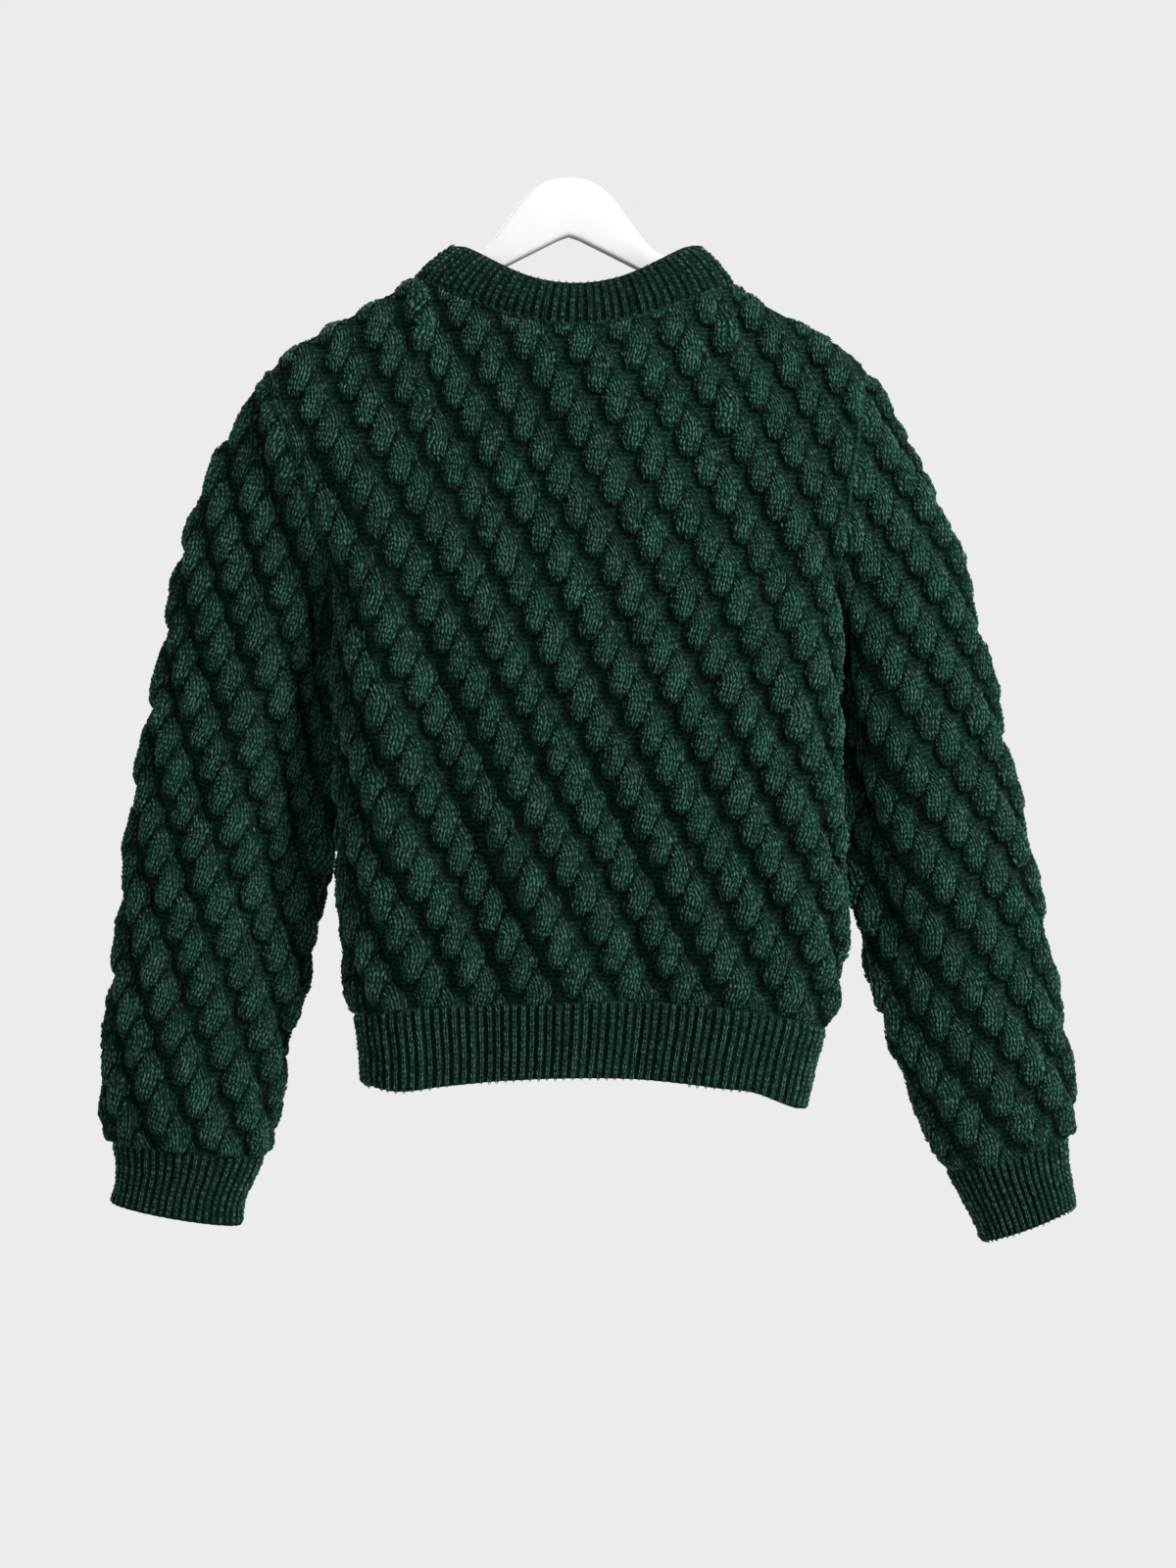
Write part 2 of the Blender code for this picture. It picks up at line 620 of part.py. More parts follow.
def ring_point(rows, angle, t, inset, gap):
    """Point of a tube; angle 0 is its outer end and pi its inner one, near side between."""
    outer_x, outer_z, inner_x, inner_z, middle_y, depth = ring_frame(rows, t)
    middle_x = (outer_x + inner_x) / 2
    middle_z = (outer_z + inner_z) / 2
    half_x = (outer_x - inner_x) / 2
    half_z = (outer_z - inner_z) / 2
    half = np.hypot(half_x, half_z)
    scale = (half - inset) / half
    length_x = -half_z / half
    length_z = half_x / half
    flip = np.where(length_z > 0, -1.0, 1.0)
    shift = gap * flip
    x = middle_x + half_x * scale * np.cos(angle) + length_x * shift
    z = middle_z + half_z * scale * np.cos(angle) + length_z * shift
    y = middle_y - (depth - inset) * np.sin(angle)
    return np.stack(np.broadcast_arrays(x, y, z), axis=-1)


def ring_normal(rows, angle, t):
    """Outward direction within a ring's own plane."""
    outer_x, outer_z, inner_x, inner_z, middle_y, depth = ring_frame(rows, t)
    half_x = (outer_x - inner_x) / 2
    half_z = (outer_z - inner_z) / 2
    half = np.hypot(half_x, half_z)
    radial = np.cos(angle) / half
    normal = np.stack(np.broadcast_arrays(
        radial * half_x / half, -np.sin(angle) / depth, radial * half_z / half), axis=-1)
    return normal / np.linalg.norm(normal, axis=-1, keepdims=True)


def tube_length(rows):
    """Length of a tube along its middle."""
    t = np.linspace(0.0, 1.0, 200)
    outer_x, outer_z, inner_x, inner_z, middle_y, depth = ring_frame(rows, t)
    middle = np.stack([(outer_x + inner_x) / 2, (outer_z + inner_z) / 2], axis=-1)
    return float(np.sum(np.linalg.norm(np.diff(middle, axis=0), axis=1)))


def tube(name, rows, row_places, columns, twist, relief, inner_rows, inner_columns, gaps, material, collection):
    """Closed tube wall: relief outside, plain inside, rims at both ends."""
    points = []
    outer = np.arange(len(row_places) * columns).reshape(len(row_places), columns)
    angles_start = []
    for t in row_places:
        gap = gaps[0] if t == 0 else (-gaps[1] if t == 1 else 0.0)
        turn = twist * t
        angle = turn + np.arange(columns) * 2 * math.pi / columns
        angles_start.append(angle)
        base = ring_point(rows, angle, t, 0.0, gap)
        normal = ring_normal(rows, angle, t)
        rise = relief(np.arange(columns), angle, t)
        points += list(base + normal * rise[:, None])
    inner_start = len(points)
    inner = inner_start + np.arange(len(inner_rows) * inner_columns).reshape(len(inner_rows), inner_columns)
    for t in inner_rows:
        gap = gaps[0] if t == 0 else (-gaps[1] if t == 1 else 0.0)
        angle = np.arange(inner_columns) * 2 * math.pi / inner_columns
        points += list(ring_point(rows, angle, t, WALL, gap))
    faces = []
    for grid in (outer, inner):
        closed = np.concatenate([grid, grid[:, :1]], axis=1)
        faces += inner_faces(closed)
    for row, outer_row, inner_row in ((0, outer[0], inner[0]), (-1, outer[-1], inner[-1])):
        turn = angles_start[row] * 4 / (2 * math.pi)
        order = np.argsort(turn % 4.0)
        outer_loop = [(float(turn[k] % 4.0), outer_row[k]) for k in order]
        inner_loop = [(4.0 * k / inner_columns, inner_row[k]) for k in range(inner_columns)]
        faces += loop_faces(outer_loop, inner_loop)
    return finish_mesh(name, points, faces, material, collection)


def sleeve(name, rows, slope, way, material, collection):
    """Sleeve in diagonal cables that wind round it."""
    length = tube_length(rows)
    count = int(round(length / 19.0))
    row_places = np.concatenate([[0.0, 0.5 / count], np.arange(1, count) / count, [1 - 0.4 / count, 1.0]])
    columns = SLEEVE_CABLES * len(SLEEVE_SHAPE)
    girth = SLEEVE_CABLES * CABLE_PITCH
    twist = way * 2 * math.pi * slope * length / girth

    def relief(column, angle, t):
        gap = min(t, 1 - t) * length
        fade = SEAM_FADE + (1 - SEAM_FADE) * float(ease(gap / FADE_LENGTH))
        underarm = ease((-np.cos(angle) - 0.6) / 0.3) * float(ease(1.4 - t * length / 60.0))
        return CABLE_RISE * cable_height(column, SLEEVE_SHAPE) * fade * (1 - underarm)

    inner_rows = np.linspace(0.0, 1.0, 15)
    return tube(name, rows, row_places, columns, twist, relief, inner_rows, 20,
                (SEAM_HALF * 2, SEAM_HALF), material, collection)


def cuff(name, rows, material, collection):
    """Ribbed cuff."""
    columns = CUFF_RIBS * 3

    def relief(column, angle, t):
        full = 1.0 if 0 < t < 1 else 0.7
        return np.where(column % 3 == 0, 0.0 * angle, CUFF_RISE * full)

    places = np.array([0.0, 0.5, 1.0])
    return tube(name, rows, places, columns, 0.0, relief, places, CUFF_RIBS, (SEAM_HALF, 0.0), material,
                collection)


def band_point(angle, v, inset):
    """Point of the neckband; angle 0 is its right corner and the near side comes first."""
    left = NECK_LEFT + (BAND_TOP_LEFT - NECK_LEFT) * v
    right = NECK_RIGHT + (BAND_TOP_RIGHT - NECK_RIGHT) * v
    bulge = BAND_BULGE * np.sin(math.pi * v)
    middle = (left + right) / 2
    half = (right - left) / 2 + bulge - inset * 1.3
    near = NECK_NEAR_DEPTH + (BAND_TOP_NEAR_DEPTH - NECK_NEAR_DEPTH) * v + bulge - inset
    far = NECK_FAR_DEPTH + (BAND_TOP_FAR_DEPTH - NECK_FAR_DEPTH) * v + bulge - inset
    rise = np.abs(np.sin(angle))
    is_near = np.sin(angle) > 0
    place = np.cos(angle)
    corner_z = neck_side_height(place) + NECK_GAP_HALF
    corner_z = corner_z + (BAND_TOP_HEIGHT - corner_z) * v
    near_drop = NECK_NEAR_DROP + (BAND_TOP_NEAR_DROP - NECK_NEAR_DROP) * v
    far_drop = NECK_FAR_DROP + (BAND_TOP_FAR_DROP - NECK_FAR_DROP) * v
    z = corner_z - np.where(is_near, near_drop * rise ** NECK_NEAR_DIP, far_drop * rise ** NECK_FAR_DIP)
    y = np.where(is_near, -near, far) * rise ** NECK_POINTED
    x = middle + half * place
    return np.stack(np.broadcast_arrays(x, y, z), axis=-1)


def neckband(name, material, collection):
    """Ribbed ring standing up round the neck."""
    columns = BAND_RIBS * 3
    fine = np.linspace(0.0, 2 * math.pi, 1441)
    line = band_point(fine, 0.0, 0.0)
    arc = np.concatenate([[0.0], np.cumsum(np.linalg.norm(np.diff(line, axis=0), axis=1))])
    angle = np.interp(np.arange(columns) / columns * arc[-1], arc, fine)
    rows = (0.0, 0.55, 1.0)
    inner_rows = (0.0, 0.5, 1.0)
    inner_angle = np.interp(np.arange(BAND_INNER) / BAND_INNER * arc[-1], arc, fine)
    points = []
    for v in rows:
        base = band_point(angle, v, 0.0)
        inward = base - band_point(angle, v, 1.0)
        inward /= np.linalg.norm(inward, axis=-1, keepdims=True)
        full = BAND_RISE if 0 < v < 1 else BAND_RISE * 0.45
        rise = np.where(np.arange(columns) % 3 == 0, 0.0, full)
        points += list(base + inward * rise[:, None])
    outer = np.arange(len(rows) * columns).reshape(len(rows), columns)
    inner = len(points) + np.arange(len(inner_rows) * BAND_INNER).reshape(len(inner_rows), BAND_INNER)
    for v in inner_rows:
        points += list(band_point(inner_angle, v, WALL))
    faces = []
    for grid in (outer, inner):
        faces += inner_faces(np.concatenate([grid, grid[:, :1]], axis=1))
    turn = 4.0 / (2 * math.pi)
    for outer_row, inner_row in ((outer[0], inner[0]), (outer[-1], inner[-1])):
        faces += loop_faces(list(zip(angle * turn, outer_row)), list(zip(inner_angle * turn, inner_row)))
    return finish_mesh(name, points, faces, material, collection)


def hanger(name, material, collection):
    """Flat hanger with rounded upper edges."""
    top_rows = table(HANGER_TOP)
    under_rows = table(HANGER_UNDER)
    places = np.array([0.0, 7.0, 14.0, 20.0, 26.0, 32.0, 38.0, 54.0, 60.0, 70.0, 82.0, 108.0, 133.0, 168.0,
                       190.0, 197.0])
    right = [(x, float(np.interp(x, top_rows[:, 0], top_rows[:, 1])),
              float(np.interp(x, under_rows[:, 0], under_rows[:, 1])), 1.0) for x in places]
    end_top = top_rows[-1, 1]
    end_under = under_rows[-1, 1]
    middle = (end_top + end_under) / 2
    right.append((HANGER_END, middle + (end_top - middle) * 0.75, middle + (end_under - middle) * 0.75, 0.8))
    right.append((HANGER_END + 2.0, middle + 2.0, middle - 2.0, 0.4))
    stations = [(-x, top, under, size) for x, top, under, size in reversed(right[1:])] + right
    half = HANGER_HALF_THICK
    upper = [math.radians(a) for a in (0, 30, 60, 90, 120, 150, 180)]
    points = []
    for x, top, under, size in stations:
        thick = half * size
        ring = [(thick * math.cos(a), top - half * size + half * size * math.sin(a)) for a in upper]
        low = 2.5 * size
        ring += [(-thick, under + low), (-thick + low, under), (thick - low, under), (thick, under + low)]
        points += [(x, y, z) for y, z in ring]
    count = len(upper) + 4
    grid = np.arange(len(points)).reshape(len(stations), count)
    faces = inner_faces(np.concatenate([grid, grid[:, :1]], axis=1))
    faces.append(tuple(int(k) for k in grid[0]))
    faces.append(tuple(int(k) for k in grid[-1]))
    return finish_mesh(name, points, faces, material, collection)


def make_material(name, colour, roughness):
    """Plain surface finish."""
    material = bpy.data.materials.new(name)
    material.use_nodes = True
    shader = material.node_tree.nodes["Principled BSDF"]
    shader.inputs["Base Color"].default_value = (*colour, 1.0)
    shader.inputs["Roughness"].default_value = roughness
    material.diffuse_color = (*colour, 1.0)
    return material


def main():
    """Build every piece of the sweater and its hanger."""
    for old in list(bpy.data.objects):
        bpy.data.objects.remove(old, do_unlink=True)
    collection = bpy.data.collections.new("cable_knit_sweater")
    bpy.context.scene.collection.children.link(collection)
    green = (0.012, 0.065, 0.047)
    panel("back_panel", 1, make_material("back_knit", green, 0.9), collection)
    panel("front_panel", -1, make_material("front_knit", green, 0.9), collection)
    hem("hem_back", 1, make_material("hem_back_rib", green, 0.9), collection)
    hem("hem_front", -1, make_material("hem_front_rib", green, 0.9), collection)
    sleeve("sleeve_left", SLEEVE_LEFT, SLEEVE_LEFT_SLOPE, 1, make_material("sleeve_left_knit", green, 0.9),
           collection)
    sleeve("sleeve_right", SLEEVE_RIGHT, SLEEVE_RIGHT_SLOPE, -1,
           make_material("sleeve_right_knit", green, 0.9), collection)
    cuff("cuff_left", CUFF_LEFT, make_material("cuff_left_rib", green, 0.9), collection)
    cuff("cuff_right", CUFF_RIGHT, make_material("cuff_right_rib", green, 0.9), collection)
    neckband("neckband", make_material("neckband_rib", green, 0.9), collection)
    hanger("hanger", make_material("hanger_paint", (0.9, 0.92, 0.9), 0.4), collection)


main()
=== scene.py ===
"""Cable-knit sweater on a plain hanger: its knitted pieces, seams, light and camera.

Lengths inside the classes are millimetres in the row frame: +X is the viewer's right, +Z is up
and the near side of the cloth faces -Y. Meshes are scaled to metres as they are made.
"""
import logging
import math
from dataclasses import dataclass, field
from enum import Enum

import bmesh
import bpy
import numpy as np
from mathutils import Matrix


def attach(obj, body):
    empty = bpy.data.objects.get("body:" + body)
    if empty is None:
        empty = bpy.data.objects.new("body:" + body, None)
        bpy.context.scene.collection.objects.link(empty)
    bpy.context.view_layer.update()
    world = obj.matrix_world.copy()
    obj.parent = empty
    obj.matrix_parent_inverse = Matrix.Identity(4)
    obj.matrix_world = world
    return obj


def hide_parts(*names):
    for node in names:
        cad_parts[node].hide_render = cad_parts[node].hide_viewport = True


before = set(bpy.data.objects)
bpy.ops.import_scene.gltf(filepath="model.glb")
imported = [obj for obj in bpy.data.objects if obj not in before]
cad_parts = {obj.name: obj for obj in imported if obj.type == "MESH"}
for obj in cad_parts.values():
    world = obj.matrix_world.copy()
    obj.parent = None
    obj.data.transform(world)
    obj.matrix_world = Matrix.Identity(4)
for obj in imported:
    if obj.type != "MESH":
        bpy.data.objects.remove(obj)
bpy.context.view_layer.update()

MM = 0.001
TURN = 2 * math.pi
LOG = logging.getLogger("sweater")

Array = np.ndarray
Pair = tuple[float, float]
Triple = tuple[float, float, float]
Socket = bpy.types.NodeSocket
Node = bpy.types.Node
Material = bpy.types.Material
Object = bpy.types.Object
Mesh = bpy.types.Mesh

SCATTER_FIRST = 12.9898
SCATTER_SECOND = 78.233
SCATTER_SPREAD = 43758.5453
FINE_STEPS = 721
ROUND_STEPS = 2881
LENGTH_STEPS = 200
EDGE_STEPS = 160
RING_STEPS = 240
SIDE_STEPS = 80
CORNER = 0.004
LEAST_LENGTH = 1e-9
LEAST_SPREAD = 1e-6
CABLES_LEFT = 50
UNITS_PER_CABLE = 200
UNITS_BELOW = 100
ROWS_PER_STRAND = 64
ROWS_ABOVE = 8
COLUMNS_PER_ROW = 8
COLUMNS_LEFT = 4
SEAM_SIDES = 8
SEAM_SPACING = 3.0
SHEEN_ROUGHNESS = 0.5


class Side(Enum):
    """Which side of the body a panel is on."""

    NEAR = 1
    FAR = -1


class Hand(Enum):
    """Which arm a sleeve or cuff is for, as the viewer sees it."""

    LEFT = -1
    RIGHT = 1


def smooth(at: Array, places: Array, values: Array) -> Array:
    """Read a cubic curve through a table, held flat beyond its ends.

    Args:
        at: Places to read the curve at.
        places: Rising places of the table.
        values: Values of the table.

    Returns:
        The curve's values.
    """
    places = np.asarray(places, dtype=float)
    values = np.asarray(values, dtype=float)
    at = np.clip(np.asarray(at, dtype=float), places[0], places[-1])
    steps = np.diff(places)
    slopes = np.diff(values) / steps
    tangents = np.empty(len(places))
    tangents[0] = slopes[0]
    tangents[-1] = slopes[-1]
    tangents[1:-1] = (slopes[:-1] * steps[1:] + slopes[1:] * steps[:-1]) / (steps[:-1] + steps[1:])
    index = np.clip(np.searchsorted(places, at, side="right") - 1, 0, len(steps) - 1)
    width = steps[index]
    part = (at - places[index]) / width
    square = part * part
    cube = square * part
    return (
        (2 * cube - 3 * square + 1) * values[index]
        + (cube - 2 * square + part) * width * tangents[index]
        + (3 * square - 2 * cube) * values[index + 1]
        + (cube - square) * width * tangents[index + 1]
    )


def ease(value: Array) -> Array:
    """Smooth step from 0 to 1."""
    value = np.clip(value, 0.0, 1.0)
    return value * value * (3 - 2 * value)


def ease_from(share: float, value: Array) -> Array:
    """Smooth step from a share to 1."""
    return share + (1 - share) * ease(value)


def scatter(first: Array, second: Array) -> Array:
    """Fixed uneven number from 0 to 1 for each pair of whole numbers."""
    mixed = np.sin(first * SCATTER_FIRST + second * SCATTER_SECOND) * SCATTER_SPREAD
    return mixed - np.floor(mixed)


def arc_of(line: Array) -> Array:
    """Distance along a line of points from its start."""
    steps = np.linalg.norm(np.diff(line, axis=0), axis=1)
    return np.concatenate([[0.0], np.cumsum(steps)])


def fine_places() -> Array:
    """Places from 0 to 1, closest together at both ends."""
    return 0.5 - 0.5 * np.cos(np.linspace(0, math.pi, FINE_STEPS))


def depth_down(grid: Array) -> Array:
    """Distance down every column of a grid of points from its first row."""
    step = np.linalg.norm(np.diff(grid, axis=0), axis=-1)
    return np.concatenate([np.zeros((1, grid.shape[1])), np.cumsum(step, axis=0)])


@dataclass(frozen=True)
class Crease:
    """Soft trough or ridge of the cloth, from one place on it to another.

    Places are distances across and heights (on the body) or distances down (on a sleeve).
    """

    start: Pair
    end: Pair
    width: float
    rise: float
    fade: float = 0.35

    def lift(self, across: Array, along: Array) -> Array:
        """Change of depth that the crease makes at places on the cloth."""
        run = np.array(self.end) - np.array(self.start)
        length = float(np.hypot(*run))
        part = ((across - self.start[0]) * run[0] + (along - self.start[1]) * run[1]) / length
        off = ((across - self.start[0]) * run[1] - (along - self.start[1]) * run[0]) / length
        ends = ease(part / (self.fade * length)) * ease((length - part) / (self.fade * length))
        return self.rise * ends * np.exp(-((off / self.width) ** 2))


@dataclass(frozen=True)
class Relief:
    """Raised pattern of a knitted surface at every place of it."""

    rise: Array
    along: Array
    beside: Array
    knit: Array
    strand: Array


@dataclass(frozen=True)
class CableChart:
    """Rope-like cables: commas of yarn that overlap down slanting lines on a purl ground."""

    pitch: float = 36.0
    slope: float = 0.515
    step: float = 20.3
    stagger: float = 3.5
    origin: Pair = (-46.5, -293.0)
    rise: float = 7.2
    centre: float = 3.0
    uneven: float = 0.20
    sway: float = 0.9
    spine: tuple[tuple[float, float, float, float], ...] = (
        # across, up, half width, share of the rise
        (-5.0, 22.0, 5.0, 0.48),
        (-1.8, 16.4, 7.6, 0.63),
        (1.0, 10.0, 9.6, 0.78),
        (2.0, 3.6, 10.3, 0.90),
        (1.2, -2.2, 10.1, 0.98),
        (0.0, -6.2, 9.1, 1.00),
        (-0.3, -8.6, 7.5, 0.97),
    )
    samples: int = 31
    groove: float = 0.50
    groove_start: float = 0.2
    groove_width: float = 0.14
    groove_bare: float = 0.40
    knit_start: float = 0.3
    scale_seed: float = 7.0

    def relief(self, across: Array, height: Array) -> Relief:
        """Work out the cables' relief.

        Args:
            across: Distance across the cloth, to the right as seen from outside.
            height: Height along the cloth.

        Returns:
            The rise and the place of each point on the strand that is on top there.
        """
        table = np.array(self.spine)
        places = np.arange(len(table), dtype=float)
        at = np.linspace(0.0, places[-1], self.samples)
        spine = np.stack([smooth(at, places, table[:, column]) for column in range(4)], axis=1)
        arc = arc_of(spine[:, :2])
        tangent = np.gradient(spine[:, :2], axis=0)
        tangent /= np.linalg.norm(tangent, axis=1, keepdims=True)
        x = across - self.origin[0]
        z = height - self.origin[1]
        cable = np.round((x + self.slope * z - self.centre) / self.pitch)
        nearest = np.round(-(z + self.stagger * cable) / self.step)
        top = np.zeros_like(x)
        under = np.zeros_like(x)
        along = np.zeros_like(x)
        beside = np.zeros_like(x)
        strand = np.zeros_like(x)
        for extra in (-1, 0, 1, 2):
            best = np.zeros_like(x)
            unit = nearest + extra
            down = self.stagger * cable + self.step * unit
            lean = self.sway * (scatter(unit, cable) - 0.5)
            centre_x = self.pitch * cable + self.slope * down + lean
            scale = 1 + self.uneven * (scatter(cable, unit + self.scale_seed) - 0.5)
            for index in range(self.samples):
                off_x = x - centre_x - spine[index, 0]
                off_z = z + down - spine[index, 1]
                near = 1 - (off_x * off_x + off_z * off_z) / spine[index, 2] ** 2
                tall = spine[index, 3] * scale * np.sqrt(np.clip(near, 0.0, None))
                wins = tall > best
                shows = tall > top
                best = np.where(wins, tall, best)
                step_along = off_x * tangent[index, 0] + off_z * tangent[index, 1]
                step_beside = off_x * tangent[index, 1] - off_z * tangent[index, 0]
                along = np.where(wins & shows, arc[index] + step_along, along)
                beside = np.where(wins & shows, step_beside, beside)
            over = best > top
            number = (cable + CABLES_LEFT) * UNITS_PER_CABLE + unit + UNITS_BELOW
            strand = np.where(over, number, strand)
            under = np.where(over, top, np.maximum(under, best))
            top = np.maximum(top, best)
        meet = ease(under / self.groove_start) * np.exp(-(((top - under) / self.groove_width) ** 2))
        tall = top * (1 - self.groove * meet)
        # Lower knit share in the grooves: fewer stitches there, and the wool's painted edge shade darkens
        # them.
        knit = ease(top / self.knit_start) * (1 - self.groove_bare * meet)
        return Relief(self.rise * tall, along, beside, knit, strand)


@dataclass(frozen=True)
class RibChart:
    """Upright ribs, each a pair of knit columns, between purl gaps."""

    pitch: float = 11.3
    rise: float = 3.2
    apart: float = 0.235
    half: float = 0.175
    bridge: float = 0.30
    bridge_half: float = 0.12
    square: float = 2.4
    ripple: float = 0.07
    ripple_length: float = 3.6
    ripple_lag: float = 2.2
    least: float = 0.90
    uneven: float = 0.20
    uneven_seed: float = 3.0
    knit_start: float = 0.45
    stitch: float = 4.6

    def relief(self, across: Array, down: Array) -> Relief:
        """Work out the ribs' relief.

        Args:
            across: Distance across the cloth from the middle of a gap.
            down: Distance down the cloth.

        Returns:
            The rise and the place of each point on its knit column.
        """
        rib = np.floor(across / self.pitch)
        off = across / self.pitch - rib - 0.5
        right = off > 0
        lean = (off - np.where(right, self.apart, -self.apart)) / self.half
        body = np.sqrt(np.clip(1 - np.abs(lean) ** self.square, 0.0, 1.0))
        middle = self.bridge * np.exp(-((off / self.bridge_half) ** 2))
        wave = 1 + self.ripple * np.cos(TURN * down / self.ripple_length + self.ripple_lag * np.abs(lean))
        uneven = self.least + self.uneven * scatter(rib, self.uneven_seed + right)
        tall = np.maximum(body * uneven, middle) * wave
        knit = ease(body / self.knit_start)
        return Relief(self.rise * tall, down, lean * self.stitch / 2, knit, rib * 2 + right)


@dataclass(frozen=True)
class BodyForm:
    """Hanging form of the sweater's body, shared by its panels and hems."""

    wall: float = 3.6
    seam_half: float = 0.2
    seam_depth: float = 0.2
    shoulder_gap: float = 0.9
    tip_left: Pair = (-215.0, -139.0)
    tip_right: Pair = (211.0, -139.0)
    underarm_place: float = 1.0 / 3.0
    underarm_left_x: float = -162.0
    underarm_right_x: float = 189.0
    armhole: float = 28.0
    shoulder_round: float = 18.0
    chest_drop: float = 210.0
    side_round: float = 0.095
    hanger_end: float = 200.0
    neck_left: float = -109.0
    neck_right: float = 117.0
    neck_depth: Pair = (48.0, 43.0)
    neck_drop: Pair = (35.0, 62.0)
    neck_dip: Pair = (2.5, 3.0)
    neck_pointed: float = 1.15
    neck_lift: float = 1.8
    neck_lift_start: float = 145.0
    neck_lift_run: float = 35.0
    neck_gap: float = 0.4
    neck_gap_run: float = 0.05
    neck_blend: float = 0.14
    tip_fall: float = 10.0
    underarm_run: float = 0.1
    inset_run: float = 2.0
    side_share: float = 0.66
    middle_share: float = 0.34
    middle_power: float = 0.8
    shoulder: tuple[Pair, ...] = (
        # distance from the middle, height of the hanger's upper edge
        (82.0, -65.0), (108.0, -80.0), (133.0, -93.5), (168.0, -112.5), (190.0, -125.0),
        (200.0, -131.8),
    )
    rows: tuple[tuple[float, float, float, float, float], ...] = (
        # height, left side, right side, near depth, far depth
        (-292.0, -162.0, 189.0, 49.0, 45.0),
        (-320.0, -162.5, 189.3, 49.5, 45.5),
        (-345.0, -162.5, 189.3, 50.0, 46.0),
        (-380.0, -161.5, 188.8, 50.0, 46.0),
        (-415.0, -160.0, 188.5, 50.0, 46.0),
        (-480.0, -158.5, 191.0, 49.0, 45.0),
        (-530.0, -157.5, 193.5, 48.0, 44.0),
        (-560.0, -154.5, 190.0, 47.0, 43.0),
        (-600.0, -150.0, 183.0, 45.0, 41.0),
        (-625.0, -146.5, 176.0, 43.5, 40.0),
        (-664.0, -146.0, 167.0, 43.0, 40.0),
    )
    hem_seam: tuple[Triple, ...] = (
        # place across from left to right, near height, far height
        (0.0, -598.0, -598.0), (0.15, -590.5, -593.0), (0.35, -588.0, -591.0),
        (0.55, -585.5, -590.0), (0.75, -589.5, -592.0), (0.88, -595.5, -598.0),
        (1.0, -607.0, -607.0),
    )
    hem_edge: tuple[Triple, ...] = (
        # place across from left to right, near height, far height
        (0.0, -645.0, -645.0), (0.08, -649.0, -645.5), (0.17, -645.5, -645.0),
        (0.30, -641.5, -643.0), (0.50, -638.5, -641.5), (0.66, -641.0, -643.0),
        (0.78, -645.5, -647.0), (0.90, -651.5, -653.0), (0.96, -659.0, -659.0),
        (1.0, -664.0, -664.0),
    )
    folds: tuple[tuple[int, float, float, float, float, float], ...] = (
        # side, place across, width, start height, end height, rise at the end
        (1, 0.13, 0.050, -230.0, -420.0, 3.0),
        (1, 0.30, 0.055, -330.0, -590.0, -3.5),
        (1, 0.47, 0.050, -380.0, -600.0, 3.0),
        (1, 0.62, 0.050, -300.0, -590.0, -3.0),
        (1, 0.80, 0.055, -340.0, -590.0, 3.0),
        (-1, 0.22, 0.055, -300.0, -580.0, 3.5),
        (-1, 0.42, 0.055, -260.0, -590.0, -4.0),
        (-1, 0.60, 0.050, -340.0, -590.0, 3.5),
        (-1, 0.78, 0.055, -300.0, -590.0, -3.0),
    )

    def pick(self, pair: Pair, side: Side) -> float:
        """Near or far value of a pair."""
        return pair[0] if side is Side.NEAR else pair[1]

    def underarm(self, hand: Hand) -> Pair:
        """Place of an underarm, across and up."""
        tip = self.tip_left if hand is Hand.LEFT else self.tip_right
        seam = self.hem_seam[0][1] if hand is Hand.LEFT else self.hem_seam[-1][1]
        across = self.underarm_left_x if hand is Hand.LEFT else self.underarm_right_x
        return across, tip[1] + (seam + self.seam_half - tip[1]) * self.underarm_place

    def shoulder_line(self, x: Array) -> Array:
        """Height of the shoulder seam over the hanger."""
        table = np.array(self.shoulder)
        lifted = smooth(np.abs(x), table[:, 0], table[:, 1]) + self.wall + self.shoulder_gap
        lifted = lifted + self.neck_lift * ease((self.neck_lift_start - np.abs(x)) / self.neck_lift_run)
        beyond = np.clip((np.abs(x) - self.hanger_end - 1.0) / self.tip_fall, 0.0, None)
        low = self.tip_left[1]
        return np.maximum(lifted - (lifted - low) * np.minimum(beyond, 1.0), low)

    def neck_place(self, x: Array) -> Array:
        """Place across the neck opening, -1 at its left corner and 1 at its right one."""
        middle = (self.neck_left + self.neck_right) / 2
        return (x - middle) / ((self.neck_right - self.neck_left) / 2)

    def neck_side_height(self, place: Array) -> Array:
        """Height of the neck seam's corners, blended across."""
        left = self.shoulder_line(np.array(self.neck_left))
        right = self.shoulder_line(np.array(self.neck_right))
        return left + (right - left) * (place + 1) / 2

    def panel_top(self, x: Array, side: Side) -> tuple[Array, Array, Array]:
        """Height and depth of a panel's upper edge, and how far inside the neck it is."""
        place = np.clip(self.neck_place(x), -1.0, 1.0)
        rise = np.sqrt(np.clip(1 - place * place, 0.0, 1.0))
        drop = self.pick(self.neck_drop, side) * rise ** self.pick(self.neck_dip, side)
        inside = np.abs(self.neck_place(x)) < 1
        height = np.where(inside, self.neck_side_height(place) - drop, self.shoulder_line(x))
        depth = self.pick(self.neck_depth, side) * rise ** self.neck_pointed
        return height, depth, ease((1 - np.abs(self.neck_place(x))) / self.neck_blend)

    def armhole_depth(self, drop: Array, across: Array, inset: float) -> Array:
        """Half depth of the armhole at a distance below the shoulder tip."""
        left = self.tip_left[1] - self.underarm(Hand.LEFT)[1]
        right = self.tip_right[1] - self.underarm(Hand.RIGHT)[1]
        height = left + (right - left) * across
        part = (drop - height / 2) / (height / 2 - inset)
        bow = np.sqrt(np.clip(1 - part * part, 0.0, 1.0))
        return self.seam_depth + (self.armhole - inset) * bow

